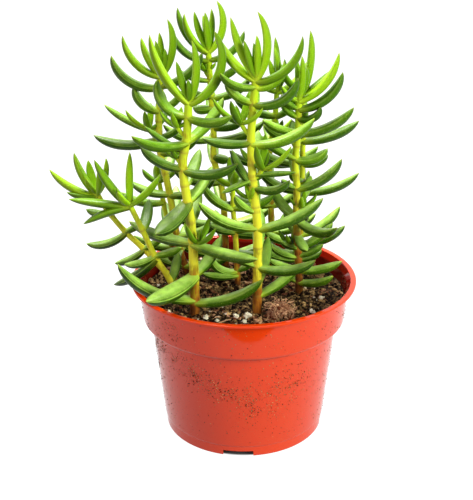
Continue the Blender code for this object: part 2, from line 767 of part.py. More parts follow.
def soil(plant, looks, into):
    """Soil with perlite grains and a coir tuft on top and a plain hole for every stem."""
    obj = soil_block(into)
    rng = random.Random("grains")
    grains = collection("grain_lumps", helper=True)
    for k, (x, y, size) in enumerate(GRAINS):
        helper_look(lump(f"grain_{k}", x, y, size * 0.6, 0.8, rng, grains))
    helper_look(lump("tuft", *TUFT_AT, TUFT_R, 0.55, rng, grains, level=2))
    boolean(obj, "UNION", grains)
    cutters = collection("hole_cutters", helper=True)
    for name, parts in plant.items():
        x, y = parts["line"][0][:2]
        r = (parts["radii"][0] * STEM_SPREAD + GAP) / math.cos(math.pi / HOLE_SIDES)
        centres = [np.array([x, y, STEM_FOOT - GAP]), np.array([x, y, SOIL_TOP + 9])]
        side, top = np.array([1.0, 0.0, 0.0]), np.array([0.0, 1.0, 0.0])
        points, faces = tube(centres, [side] * 2, [top] * 2, [polygon(r, HOLE_SIDES)] * 2)
        helper_look(mesh_object("hole_" + name, points, faces, cutters))
    boolean(obj, "DIFFERENCE", cutters)
    obj.data.materials.clear()
    obj.data.materials.append(looks["soil"])
    return obj


def main():
    clear_scene()
    into = collection("potted_crassula")
    looks = {
        "pot": material("pot", (0.72, 0.09, 0.03), 0.4),
        "soil": material("soil", (0.05, 0.028, 0.016), 0.95),
        "plant": material("plant", (0.2, 0.33, 0.06), 0.45),
    }
    plant = plant_layout()
    pot(looks, into)
    soil(plant, looks, into)
    for name in ORDER:
        leafy_stem(name, plant[name], looks, into)
    for obj in into.objects:
        print(obj.name, len(obj.data.polygons), "faces")


main()
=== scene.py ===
# %% [markdown]
# # A potted crassula, dressed
#
# The object is a crassula: a small branching succulent with upright stems and slim, pointed,
# fleshy leaves in opposite pairs, grown in an orange-red nursery pot. The solid model already
# holds the size and place of the pot, the soil and the eleven leafy stems. This lesson loads it
# as a fixed frame and builds, in the same place, the finer shapes and the finishes that a
# camera sees.

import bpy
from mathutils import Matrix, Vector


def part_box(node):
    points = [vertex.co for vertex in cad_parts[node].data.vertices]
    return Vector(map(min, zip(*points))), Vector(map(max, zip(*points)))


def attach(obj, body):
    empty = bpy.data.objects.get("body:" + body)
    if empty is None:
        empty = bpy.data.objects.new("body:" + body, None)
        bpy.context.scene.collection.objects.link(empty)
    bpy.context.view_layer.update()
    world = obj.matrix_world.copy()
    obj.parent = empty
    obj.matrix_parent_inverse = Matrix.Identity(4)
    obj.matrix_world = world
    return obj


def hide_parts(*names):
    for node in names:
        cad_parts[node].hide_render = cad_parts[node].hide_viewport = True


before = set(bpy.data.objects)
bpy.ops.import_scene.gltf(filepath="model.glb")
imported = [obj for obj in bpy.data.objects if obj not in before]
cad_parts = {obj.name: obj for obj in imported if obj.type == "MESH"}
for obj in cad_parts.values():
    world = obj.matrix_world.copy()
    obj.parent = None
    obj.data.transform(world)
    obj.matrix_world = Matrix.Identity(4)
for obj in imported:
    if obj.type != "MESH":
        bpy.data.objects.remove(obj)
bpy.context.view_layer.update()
print("nodes:", sorted(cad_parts))

# %% Modules
import math
import random

import bmesh
import bpy
import numpy as np
from mathutils import Vector, noise

# %% [markdown]
# ## Units and small helpers
#
# The plant is easiest to think about in millimetres, and Blender works in metres, so lengths are
# written in millimetres and turned into metres where a mesh is made. Colours are written as the
# hex values that a paint program shows, and shaders want linear light, so one function turns one
# into the other.

# %% Units and colours
MM = 0.001


def linear(hex_colour):
    """Linear RGBA of an sRGB hex colour such as "#8FAB39"."""
    parts = [int(hex_colour[k:k + 2], 16) / 255 for k in (1, 3, 5)]
    return (*[c / 12.92 if c <= 0.04045 else ((c + 0.055) / 1.055) ** 2.4 for c in parts], 1.0)


print("a leaf green in linear light:", [round(c, 3) for c in linear("#8FAB39")])

# %% [markdown]
# Shader trees and geometry trees are both built from nodes, so a single helper is enough for
# both: it adds a node, sets its options, and fills each input with either a value or a link. A
# link is given as an output socket, or simply as a node, which stands for its first output in use.

# %% The node helper


def add(tree, kind, inputs=None, **options):
    """A new node of a tree. Each input is a value, an output socket or another node."""
    node = tree.nodes.new(kind)
    for name, value in options.items():
        setattr(node, name, value)
    for socket, value in (inputs or {}).items():
        if isinstance(value, bpy.types.Node):
            value = next(output for output in value.outputs if output.enabled)
        if isinstance(value, bpy.types.NodeSocket):
            tree.links.new(value, node.inputs[socket])
        else:
            node.inputs[socket].default_value = value
    return node


# %% [markdown]
# Every material starts with an empty tree. A geometry tree gets named inputs, so that one tree
# serves several pieces with other sizes. A modifier knows those inputs by an identifier, which is
# looked up from the name. The piece is finished when the modifier's result has become its mesh
# and the modifier is gone.

# %% Helpers for materials and geometry trees


def new_material(name):
    """A new material and its tree, without any node."""
    material = bpy.data.materials.new(name)
    material.use_nodes = True
    material.node_tree.nodes.clear()
    return material, material.node_tree


def new_tree(name, inputs):
    """An empty geometry tree with named inputs, the sockets of those, and its output node."""
    tree = bpy.data.node_groups.new(name, "GeometryNodeTree")
    tree.interface.new_socket("Geometry", in_out="INPUT", socket_type="NodeSocketGeometry")
    for label, kind in inputs:
        tree.interface.new_socket(label, in_out="INPUT", socket_type="NodeSocket" + kind)
    tree.interface.new_socket("Geometry", in_out="OUTPUT", socket_type="NodeSocketGeometry")
    return tree, add(tree, "NodeGroupInput").outputs, add(tree, "NodeGroupOutput")


def grow(obj, tree, values):
    """Replaces the object's mesh with what the tree makes of it."""
    modifier = obj.modifiers.new("grow", "NODES")
    modifier.node_group = tree
    for item in tree.interface.items_tree:
        if item.in_out == "INPUT" and item.name in values:
            modifier[item.identifier] = values[item.name]
    obj.update_tag()
    return baked(obj)


def baked(obj):
    """The object with its modifiers' result as its mesh."""
    graph = bpy.context.evaluated_depsgraph_get()
    mesh = bpy.data.meshes.new_from_object(obj.evaluated_get(graph))
    obj.modifiers.clear()
    old, obj.data = obj.data, mesh
    bpy.data.meshes.remove(old)
    mesh.name = obj.name
    return obj


# %% [markdown]
# Every piece sits at the origin with its place in its mesh. It rides on the part's one body,
# and the nodes of the solid model that it stands for are hidden.

# %% Helpers for pieces


def new_object(name, points, edges=(), faces=(), material=None):
    """An object at the origin whose points are given in millimetres."""
    mesh = bpy.data.meshes.new(name)
    mesh.from_pydata((np.array(points, float) * MM).tolist(), list(edges), list(faces))
    if material:
        mesh.materials.append(material)
    obj = bpy.data.objects.new(name, mesh)
    bpy.context.scene.collection.objects.link(obj)
    return obj


def mark(mesh, name, values, kind="FLOAT"):
    """Stores one number, or one vector, per point of a mesh."""
    layer = mesh.attributes.new(name, kind, "POINT")
    field = "value" if kind == "FLOAT" else "vector"
    layer.data.foreach_set(field, np.asarray(values, np.float32).ravel())


def hand_over(obj, slot, *nodes):
    """Attaches a finished piece to the root body, hides the solid nodes it replaces, and prints its
    triangles.
    """
    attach(obj, "root")
    if nodes:
        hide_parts(*nodes)
    obj.data.calc_loop_triangles()
    print(f"{obj.name}: {len(obj.data.loop_triangles)} triangles")


# %% [markdown]
# ## The shape of the plant
#
# Each stem is a smooth line through a few way-points. Leaves stand on it in opposite pairs, and
# a pair is given by its height, the direction of its first leaf, and for each leaf its length
# and two elevations: where it leaves the stem and at its point, because these leaves curl
# upwards. A fourth number is a width that isn't the usual one, and None stands for a leaf that
# has dropped. Round the tip stand younger, steeper leaves, given by direction, length and
# elevations. Some axils hold a short side shoot, given by its height, its direction and the
# lengths of its stalk and leaves. Lengths are in millimetres, angles in degrees; direction 0 is
# +X, and -90 is the front.

# %% Stems and leaf pairs
STEMS = {
    "a": dict(
        path=[
            (-22, -25, 67), (-22, -25, 87), (-23, -24, 110), (-26, -24, 135), (-24, -24, 150),
            (-23, -23, 165),
        ],
        radii=(2.2, 1.7),
        pairs=[
            (73, -8, (35, 4, 46), None),
            (74, 11, None, (40.5, -8, 36)),
            (86, -126, (30, -14, 6, 9.2), (24, 10, 50)),
            (101, -32, (35, -4, 8), (38, -10, 12, 6.6)),
            (111, 80, (22, 10, 45), None),
            (120, -126, (24, -28, -6, 8.4), (22, 15, 45)),
            (128, 75, (22, 10, 48), None),
            (135, -5, (25, -20, 38), (21, 6, 52)),
            (143, 178, (20, 28, 40, 3.6), None),
            (147, -142, (28, -4, 36), (26, 20, 55)),
            (158, -22, (21, -18, 34), (23, -8, 100)),
        ],
        tip=[
            (8, 36, 22, 118), (185, 33, 44, 80, 5.6), (10, 26, 70, 102), (200, 18, 64, 84),
            (-90, 10, 66, 84),
        ],
        shoots=[(98, -40, 3, 14), (148, 172, 5, 10), (136, 172, 3, 8)],
    ),
    "b": dict(
        path=[
            (6, -24, 67), (6, -24, 91), (6, -24, 108), (4, -23, 128), (3, -22, 147),
            (4, -21, 163), (5, -21, 174),
        ],
        radii=(2.1, 1.6),
        pairs=[
            (76, 25, (24, 14, 44), None),
            (82, 65, (22, 34, 78), None),
            (90, -6, (27, -16, 36), (18, 18, 28)),
            (99, 84, (24, 12, 45), None),
            (108, 3, (32, 8, 42), (29, 0, 48)),
            (116, 178, (12, 15, 60, 5), None),
            (118, 95, (22, 12, 48), None),
            (127, -14, (18, -20, 52), (18, 48, 68)),
            (130, -158, (15, -8, -28, 3.4), (5, 20, 40)),
            (132, -14, (19, 12, 4, 3.4), None),
            (137, 80, (20, 12, 50), None),
            (146, 2, (30, -6, 48), (21, -6, 20)),
            (156, 88, (22, 15, 55), None),
            (163, -10, (24, -12, 76), (16, 6, 70)),
            (170, 10, (18, -8, 88), (18, -4, 52)),
        ],
        tip=[
            (-4, 29, 6, 84), (180, 27, 26, 62), (168, 28, 50, 84), (6, 29, 60, 118),
            (200, 17, 60, 84), (-85, 18, 78, 92), (110, 14, 68, 86),
        ],
        shoots=[(129, -18, 6, 17), (148, 166, 6, 16), (118, 183, 3, 9)],
    ),
    "c": dict(
        path=[
            (26, -1, 67), (25, -1, 90), (24, -1, 103), (24, 0, 118), (23, 0, 131), (24, 0, 144),
            (24, 0, 160),
        ],
        radii=(1.8, 1.4),
        pairs=[
            (72, -28, (19, 4, 38), (14, 10, 40)),
            (78, -10, (21, 0, 30), (15, 5, 30)),
            (85, 172, (15, 0, 45), (13, 20, 35)),
            (89, 12, (20, 22, 48), (9, 16, 30)),
            (96, -70, (13, -30, 0), (18, 10, 45)),
            (104, -48, (27, -28, 40), (20, 10, 50)),
            (111, 80, (18, 10, 48), None),
            (118, 0, (25, 10, 58), (8, 15, 40)),
            (125, 85, (18, 10, 50), None),
            (132, 4, (16, -15, 50, 6), (20, 24, 44)),
            (138, 88, (16, 12, 50), None),
            (144, -3, (28, 4, 50), (17, 6, 32)),
            (151, -16, (12.5, -14, 74, 5.2), (10, 20, 60)),
            (155, 2, (26.5, 6, 74), (10, 20, 60)),
        ],
        tip=[
            (6, 28.5, 22, 80), (178, 10, 10, 50), (120, 18, 76, 88), (-75, 20, 74, 88),
            (20, 14, 66, 84),
        ],
        shoots=[(85.5, 160, 4, 9), (105, 0, 3, 9)],
    ),
    "d": dict(
        path=[(-3, 7, 67), (-4, 7, 93), (-5, 6, 106), (-5, 5, 119)],
        radii=(1.4, 1.1),
        pairs=[
            (72, 205, (18, 2, 20, 5), None),
            (74, 178, (20, -16, 84, 6), (8, 20, 45)),
            (94, 170, (13, 5, 28, 5), (9, 10, 50)),
            (106, 175, (19, 22, 62, 6), (21, 0, 42, 5.4)),
        ],
        tip=[
            (10, 13, 15, 50), (190, 13, 20, 60), (100, 14, 30, 70), (-80, 13, 25, 65),
            (40, 9, 60, 80),
        ],
        shoots=[],
    ),
    "e": dict(
        path=[(-30, -9, 67), (-34, -12, 78), (-40, -15, 91), (-45, -18, 105), (-50, -20, 118)],
        radii=(1.4, 1.2),
        pairs=[
            (77, 60, (14, 45, 75), None),
            (90, 160, (28, -46, -28), None),
            (91, 182, (15, -32, -2), (13, 15, 32)),
            (105, 80, (18, 10, 50), None),
        ],
        tip=[
            (182, 22, -4, -36), (176, 27, 8, 2), (165, 25, 42, 62), (-10, 21, 36, 56),
            (170, 24, 86, 100), (-120, 11, 30, 60), (200, 9, 40, 70),
        ],
        shoots=[],
    ),
    "f": dict(
        path=[(-32, 7, 67), (-40, 6, 77), (-47, 5, 86), (-55, 4, 95), (-63, 2, 107), (-67, 2, 115)],
        radii=(1.4, 1.2),
        pairs=[
            (86, 180, (16, -44, -10), (12, 20, 50)),
            (95, 184, (20, -44, 14), (12, 20, 55)),
            (105, 186, (11, 0, 22), (13, 25, 65)),
        ],
        tip=[
            (180, 25, 12, 50), (196, 14, 0, 24), (170, 22, 50, 76), (-70, 17, 55, 82),
            (-5, 18, 60, 88), (120, 16, 40, 75), (210, 9, 45, 70),
        ],
        shoots=[],
    ),
    "g": dict(
        path=[
            (-27, 17, 67), (-31, 15, 82), (-34, 14, 105), (-36, 13, 118), (-38.5, 12, 133),
            (-38.5, 12, 145), (-37, 12, 168),
        ],
        radii=(1.8, 1.4),
        pairs=[
            (73, -8, (24, 4, 30, 6.2), (18, 0, 30, 5.6)),
            (81, 80, (20, 5, 40), (20, -5, 35)),
            (89, -8, (24, 5, 45, 6.2), (24, -5, 35)),
            (99, 85, (22, 5, 40), (20, -5, 30)),
            (110, -8, (24, 0, 45), (20, -5, 35)),
            (121, 85, (20, 5, 45), None),
            (131, 5, (20, 0, 50), None),
            (138, 178, (31, -22, 26), (12, 15, 45)),
            (141, 176, (28, 14, 36, 4.4), None),
            (146, 88, (22, 5, 50), None),
            (151, 178, (17, 8, 84, 6), (14, 20, 60)),
            (162, 184, (28, -8, 76), (25, 10, 66)),
        ],
        tip=[
            (178, 26, 14, 82), (165, 19, 48, 78), (10, 26, 54, 110), (-110, 17, 62, 84),
            (-40, 12, 70, 84), (100, 18, 70, 86),
        ],
        shoots=[(136, 182, 6, 14)],
    ),
    "h": dict(
        path=[
            (-9, 28, 67), (-10, 24, 105), (-14, 21, 125), (-14, 20, 140), (-15, 20, 157),
            (-16, 20, 177),
        ],
        radii=(1.7, 1.3),
        pairs=[
            (73, 8, (26, 4, 26, 6.4), (26, 4, 26, 6.4)),
            (82, 100, (22, 5, 40), None),
            (91, 10, (26, -5, 40, 6.4), (26, -5, 40, 6.4)),
            (102, 100, (22, 5, 40), (22, 5, 40)),
            (113, 8, (27, -5, 42), (26, -5, 42)),
            (124, 98, (22, 5, 45), None),
            (127, 2, (8, -22, -6, 6), None),
            (135, 5, (26, -5, 45), (25, -8, 40)),
            (141, 3, (14, 4, 14, 6), None),
            (146, 98, (20, 5, 50), (20, 5, 45)),
            (150, 0, None, (9, -14, 10, 6)),
            (155, 5, (21, 0, 55), (18, 5, 50)),
            (163, 178, (15, 0, 36, 3.8), (16, 10, 50)),
            (172, 180, (22.5, 2, 76, 4.8), (21.5, 4, 72, 4.8)),
        ],
        tip=[
            (166, 25, 26, 82), (186, 21, 32, 86), (2, 24.5, 42, 118), (190, 19, 52, 90),
            (-110, 18, 68, 88), (75, 18, 64, 84), (110, 15, 66, 84),
        ],
        shoots=[(163, 150, 3, 9)],
    ),
    "i": dict(
        path=[(14, 30, 67), (13, 24, 102), (12, 20, 128), (14, 17, 143), (15, 16, 160)],
        radii=(1.6, 1.2),
        pairs=[
            (73, 5, (24, 4, 30, 6.2), (24, 4, 30, 6.2)),
            (80, 95, (20, 5, 40), (20, 5, 40)),
            (86, 5, (24, 0, 42), (26, -2, 34, 6.2)),
            (94, 95, (20, 5, 40), None),
            (101, 5, (26, -5, 42), (26, -5, 42)),
            (112, 95, (22, 5, 45), (20, 5, 45)),
            (123, 8, (25, -5, 46), (25, -5, 46)),
            (135, 95, (22, 5, 45), (20, 5, 45)),
            (147, 5, (22, 5, 56), (22, 5, 50)),
        ],
        tip=[
            (10, 20, 14, 72), (190, 20, 20, 74), (100, 24, 66, 86), (-70, 21, 66, 88),
            (40, 14, 60, 84), (215, 15, 60, 84),
        ],
        shoots=[(135, 10, 3, 9)],
    ),
    "j": dict(
        path=[(-34, 24, 67), (-37, 26, 90), (-41, 28, 113)],
        radii=(1.3, 1.1),
        pairs=[
            (78, 10, (20, 5, 40), (20, 5, 40)),
            (89, 100, (18, 5, 45), (18, 0, 40)),
            (101, 10, (18, 5, 45), (22, -5, 40)),
        ],
        tip=[
            (180, 10, 20, 60), (0, 15, 25, 60), (90, 16, 30, 65), (-90, 14, 35, 70),
            (45, 9, 60, 80),
        ],
        shoots=[],
    ),
    "k": dict(
        path=[(27, 22, 67), (27, 16, 105), (27, 13, 136), (26.5, 12, 150), (26.5, 12, 160)],
        radii=(1.6, 1.2),
        pairs=[
            (74, 10, (12, 4, 34), (20, 4, 30, 5.8)),
            (83, 0, (24, 2, 44), (20, 0, 40)),
            (88, 12, (24, 10, 54), None),
            (98, 90, (22, 5, 40), (18, 5, 40)),
            (111, 0, (29, -2, 42, 5.6), (24, 0, 45)),
            (117, 90, (22, 5, 45), (18, 5, 45)),
            (125, 5, (13, -5, 45), (22, 0, 45)),
            (136.5, 2, (27.5, 4, 36), (20, 0, 45)),
            (148, 92, (20, 10, 55), (16, 10, 50)),
        ],
        tip=[
            (0, 18, 24, 62), (10, 17, 24, 48), (50, 28, 66, 96), (180, 18, 30, 76),
            (-90, 14, 60, 82),
        ],
        shoots=[],
    ),
}
ORDER = "abcefgdkhij"
print(len(ORDER), "stems,", sum(len(stem["pairs"]) for stem in STEMS.values()), "pairs of leaves")

# %% [markdown]
# A stem's line is a smooth curve through its way-points that is led straight down into its hole
# in the soil. A leaf's line starts on it and turns from one elevation to the other at an even
# rate. The leaf is a spindle: a little narrow where it clasps the stem, fullest near the middle,
# and pointed.

# %% Lines of stems and leaves
SOIL_TOP = 67.0
STEM_FOOT = 57.0
STRAIGHT_ABOVE_SOIL = 1.5
STATIONS = 12
FULLEST = {"leaf": 0.52, "tip": 0.4, "bud": 0.4}
CLASP_WIDTH = 0.68
TAPER, BLUNTNESS = 2.6, 0.78


def stem_line(path, step=3.0):
    """Smooth line through the way-points, led straight down into the soil."""
    points = np.array(path, float)
    points = np.vstack([points[0] - (0, 0, SOIL_TOP - STEM_FOOT), points])
    ends = np.vstack([2 * points[0] - points[1], points, 2 * points[-1] - points[-2]])
    line = []
    for p0, p1, p2, p3 in zip(ends, ends[1:], ends[2:], ends[3:]):
        count = max(2, int(np.linalg.norm(p2 - p1) / step))
        for t in np.arange(count) / count:
            curve = 2 * p0 - 5 * p1 + 4 * p2 - p3
            cubic = 3 * p1 - p0 - 3 * p2 + p3
            line.append(0.5 * (2 * p1 + (p2 - p0) * t + curve * t * t + cubic * t ** 3))
    line = np.array([*line, points[-1]])
    line[line[:, 2] < path[0][2] + STRAIGHT_ABOVE_SOIL, :2] = path[0][:2]
    return line


def at_height(line, z):
    """Point of a stem's line at a height."""
    return np.array([np.interp(z, line[:, 2], line[:, axis]) for axis in range(3)])


def leaf_line(leaf, stations=STATIONS):
    """Centre line of a leaf that leaves its stem at one elevation and curls to another."""
    s = (np.arange(stations) + 0.5) / stations
    rise = np.radians(leaf["start"] + (leaf["end"] - leaf["start"]) * s)
    turn = np.radians(leaf["azimuth"] + leaf["sway"] * s)
    steps = np.stack([np.cos(rise) * np.cos(turn), np.cos(rise) * np.sin(turn), np.sin(rise)], 1)
    way = np.cumsum(steps, 0) * leaf["length"] / stations
    return np.vstack([leaf["root"], leaf["root"] + way])


def half_width(s, leaf):
    """Full spindle: a little narrow where it clasps the stem, and pointed only near its end."""
    full = FULLEST[leaf["kind"]]
    rise = CLASP_WIDTH + (1 - CLASP_WIDTH) * np.sin(np.pi / 2 * np.minimum(s / full, 1))
    fall = 1 - np.maximum(0, (s - full) / (1 - full)) ** TAPER
    return 0.5 * leaf["width"] * rise * np.maximum(fall, 0) ** BLUNTNESS


print("the first stem's line has", len(stem_line(STEMS["a"]["path"])), "points")

# %% [markdown]
# No two leaves of a real plant point exactly where the rule says, so each gets a small seeded
# turn and sway. Stems, leaves and shoots are only lists of lengths and angles at this stage.

# %% Every leaf as it would like to stand
WIDTHS = {"leaf": (3.6, 0.09), "tip": (3.0, 0.075), "bud": (1.6, 0.12), "stalk": (1.9, 0.0)}
AIM = {"leaf": 3, "bud": 14}
SWAY = {"leaf": 7, "tip": 6, "bud": 8}
PAIR_STEP = 0.5
TIP_DEPTH, TIP_STEP = 1.5, 0.3
STALK_R = 0.95
STALK_RISE = (35, 70)
STALK_IN_STEM, STALK_ABOVE_AXIL = 1.5, 1.0
BUD_IN_STALK = 0.4
SHOOT_LEAVES = ((1.0, 25, 60), (0.95, 35, 70), (0.8, 20, 55), (0.9, 40, 72), (0.5, 65, 80))


def new_leaf(kind, root, azimuth, shape, sway=0):
    """A leaf from its length, two elevations and, where it isn't the usual one, its width."""
    length, start, end, *width = shape
    least, share = WIDTHS[kind]
    return dict(kind=kind, root=root, azimuth=azimuth, length=length, start=start, end=end,
                sway=sway, width=width[0] if width else least + share * length)


def wanted_leaves(name, stem):
    """Line, stalks of side shoots and all leaves of one stem, before crossings are cleared."""
    rng = random.Random("crassula " + name)
    line = stem_line(stem["path"])
    stalks, leaves = [], []

    def stray(most):
        """A random number of degrees to either side."""
        return rng.uniform(-most, most)

    for z, azimuth, first, second in stem["pairs"]:
        for turn, lift, shape in ((0, 0, first), (180, PAIR_STEP, second)):
            if shape:
                aim = azimuth + turn + stray(AIM["leaf"])
                leaves.append(new_leaf("leaf", at_height(line, z + lift), aim, shape, stray(SWAY["leaf"])))
    for k, (azimuth, *shape) in enumerate(stem["tip"]):
        root = line[-1] - (0, 0, TIP_DEPTH - TIP_STEP * k)
        leaves.append(new_leaf("tip", root, azimuth, shape, stray(SWAY["tip"])))
    for z, azimuth, stalk, length in stem["shoots"]:
        shape = (stalk + STALK_IN_STEM, *STALK_RISE)
        stalks.append(new_leaf("stalk", at_height(line, z + STALK_ABOVE_AXIL), azimuth, shape))
        root = leaf_line(stalks[-1])[-1] - (0, 0, BUD_IN_STALK)
        for k, (share, start, end) in enumerate(SHOOT_LEAVES):
            aim = azimuth + 90 * k + stray(AIM["bud"])
            leaves.append(new_leaf("bud", root, aim, (length * share, start, end), stray(SWAY["bud"])))
    return line, stalks, leaves


print("stem a wants", len(wanted_leaves("a", STEMS["a"])[2]), "leaves")

# %% [markdown]
# Leaves of neighbouring stems would run into each other here and there. As in the solid model,
# each leaf tries a list of turns, lifts and shorter lengths, the mildest first, and keeps the
# first that leaves it clear of every other stem. For this a leaf is a chain of balls. Both
# scripts follow the same rule with the same seeds, so the finer leaves lie where the solid ones
# are.

# %% Room round a leaf, and ways to bend it
LIP_R = 52.5
LIP_TOP = 74.5
LIP_INSIDE = 45
RIM_REACH = 2.5
ABOVE_SOIL = 2.5
ABOVE_RIM = 0.3
CLEAR = 0.7
OWN_CLEAR = -1.6
FAR = 99.0
TURNS = (0, 5, -5, 10, -10, 16, -16, 24, -24, 34, -34)
LIFTS = (0, 7, -7, 14, -14, 22, -22, 32)
SHORTER = (1.0, 0.92, 0.84, 0.74, 0.62)
TURN_COST, LIFT_COST, SHORTER_COST = 7, 8, 9


def room(points, radii, others, other_radii):
    """Least gap between one chain of balls and all the others."""
    if not len(others):
        return FAR
    apart = np.linalg.norm(points[:, None] - others[None], axis=2)
    return (apart - radii[:, None] - other_radii[None]).min()


def rim_room(points, radii):
    """Least gap of a leaf above the soil and above the pot's lip."""
    r = np.hypot(points[:, 0], points[:, 1])
    low = points[:, 2] - radii
    near = r < LIP_R + RIM_REACH
    over_soil = np.where(near, low - SOIL_TOP - ABOVE_SOIL, FAR)
    over_lip = np.where((r > LIP_INSIDE) & near, low - LIP_TOP, FAR)
    return min(over_soil.min(), over_lip.min())


BENDS = sorted(
    (abs(turn) / TURN_COST + abs(lift) / LIFT_COST + (1 - scale) * SHORTER_COST, turn, lift, scale)
    for turn in TURNS for lift in LIFTS for scale in SHORTER)
print(len(BENDS), "ways to bend a leaf")

# %% Bend every leaf clear of the other stems
NEARBY = 6
LIFT_AT_CLASP = 0.5
WIDTH_KEPT = 0.6
STEM_SPACE = 1.25
STALK_SPACE = 0.15


def bent_clear(name, leaf, solid):
    """The leaf, its line and radii with the mildest bend that touches no other stem."""
    others = np.vstack([part[0] for part in solid])
    other_radii = np.concatenate([part[1] for part in solid])
    owner = np.concatenate([np.full(len(part[0]), part[2]) for part in solid])
    near = np.linalg.norm(others - leaf["root"], axis=1) < leaf["length"] + NEARBY
    foreign = near & (np.char.rstrip(owner, "+") != name)
    own = near & (owner == name + "+")
    s = np.linspace(0, 1, STATIONS + 1)
    half = STATIONS // 2
    for _, turn, lift, scale in BENDS:
        bent = dict(leaf, azimuth=leaf["azimuth"] + turn, length=leaf["length"] * scale,
                    start=leaf["start"] + lift * LIFT_AT_CLASP, end=leaf["end"] + lift,
                    width=leaf["width"] * (WIDTH_KEPT + (1 - WIDTH_KEPT) * scale))
        line = leaf_line(bent)
        radii = half_width(s, bent)
        if rim_room(line, radii) < ABOVE_RIM:
            continue
        if room(line, radii, others[foreign], other_radii[foreign]) < CLEAR:
            continue
        crowd = room(line[half:], radii[half:], others[own], other_radii[own])
        if leaf["kind"] == "bud" or crowd >= OWN_CLEAR:
            return bent, line, radii
    return None


def plant_layout():
    """Every stem's line, radii, stalks and leaves, with each leaf bent clear of other stems."""
    solid, plant = [], {}
    half = STATIONS // 2
    for name in ORDER:
        fine = stem_line(STEMS[name]["path"], 1.0)
        foot_r, tip_r = STEMS[name]["radii"]
        t = np.clip((fine[:, 2] - SOIL_TOP) / (fine[-1, 2] - SOIL_TOP), 0, 1)
        solid.append((fine, (foot_r + (tip_r - foot_r) * t) * STEM_SPACE, name))
    for name in ORDER:
        line, stalks, leaves = wanted_leaves(name, STEMS[name])
        plant[name] = {"line": line, "radii": STEMS[name]["radii"], "stalks": stalks, "leaves": []}
        for stalk in stalks:
            solid.append((leaf_line(stalk), np.full(STATIONS + 1, STALK_R + STALK_SPACE), name))
        for leaf in leaves:
            found = bent_clear(name, leaf, solid)
            if found:
                bent, centre, radii = found
                plant[name]["leaves"].append(bent)
                solid.append((centre, radii, name))
                solid.append((centre[half:], radii[half:], name + "+"))
            else:
                print("left out a", leaf["kind"], "of stem", name, "at", leaf["root"].round())
    return plant


plant = plant_layout()
for name, parts in plant.items():
    low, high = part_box("stem_" + name)
    reach = max(leaf_line(leaf)[:, 2].max() for leaf in parts["leaves"])
    print(f"stem {name}: {len(parts['leaves'])} leaves to {reach:.0f} mm, solid to {high.z / MM:.0f} mm")

# %% [markdown]
# ## Finishes
#
# ** Leaf skin.** Crassula leaves are waxy and let a little light through, so the skin is a
# satin surface over some scattering below it. Young leaves at the tips are lime green; older
# ones are a deep green with a paler, greyish upper face that is partly a bloom of wax and partly
# a painted sheen. The skin is yellower where the leaf clasps the stem and at the point, freckled
# with pale pores about half a millimetre apart, and a faint, broken pale line runs along each
# margin.
#
# Each of these traits is a ramp: it follows a value stored on the leaf, or a noise, from one
# point to another, and rises or falls between two amounts meanwhile.

# %% Leaf skin: where each trait shows
leaf_skin, tree = new_material("waxy crassula leaf skin")
place = add(tree, "ShaderNodeTexCoord").outputs["Object"]
along, age, tone, around = [
    add(tree, "ShaderNodeAttribute", attribute_name=name).outputs["Fac"]
    for name in ("along", "age", "tone", "around")]
pores, patches, grain = [
    add(tree, "ShaderNodeTexNoise", {"Vector": place, "Scale": scale, "Detail": detail})
    for scale, detail in ((1900.0, 1.0), (260.0, 2.0), (700.0, 3.0))]
fold = add(tree, "ShaderNodeMath", {0: around, 1: 0.25}, operation="SUBTRACT")
fold = add(tree, "ShaderNodeMath", {0: fold}, operation="ABSOLUTE")
trait = {}
for name, value, begin, stop, low, high in (
        ("young", age, 0.0, 0.3, 0.0, 1.0),
        ("mature", age, 0.3, 0.75, 0.0, 1.0),
        ("hue", tone, 0.0, 1.0, 0.512, 0.488),
        ("clasp", along, 0.0, 0.2, 0.75, 0.0),
        ("point", along, 0.94, 1.0, 0.0, 0.55),
        ("freckle", pores, 0.56, 0.72, 0.0, 0.32),
        # painted shade: the underside of each leaf is darker
        ("below", fold, 0.2, 0.4, 1.0, 0.58),
        # wax bloom and painted sheen: the upper face of older leaves is paler
        ("bloom_and_painted_sheen", fold, 0.05, 0.24, 0.92, 0.0),
        ("clouded", patches, 0.3, 0.7, 0.5, 1.0),
        ("margin", fold, 0.15, 0.2, 0.0, 1.0),
        ("beyond", fold, 0.21, 0.27, 1.0, 0.0),
        ("broken", patches, 0.35, 0.65, 0.0, 0.3),
        ("brightness", tone, 0.0, 1.0, 0.55, 1.4),
        ("gloss", grain, 0.0, 1.0, 0.24, 0.42)):
    trait[name] = add(tree, "ShaderNodeMapRange", {
        "Value": value, "From Min": begin, "From Max": stop, "To Min": low, "To Max": high})
for name, others in (("bloom_and_painted_sheen", ("clouded", "mature")), ("margin", ("beyond", "broken"))):
    for other in others:
        trait[name] = add(tree, "ShaderNodeMath", {0: trait[name], 1: trait[other]}, operation="MULTIPLY")
print("leaf skin:", len(trait), "traits")
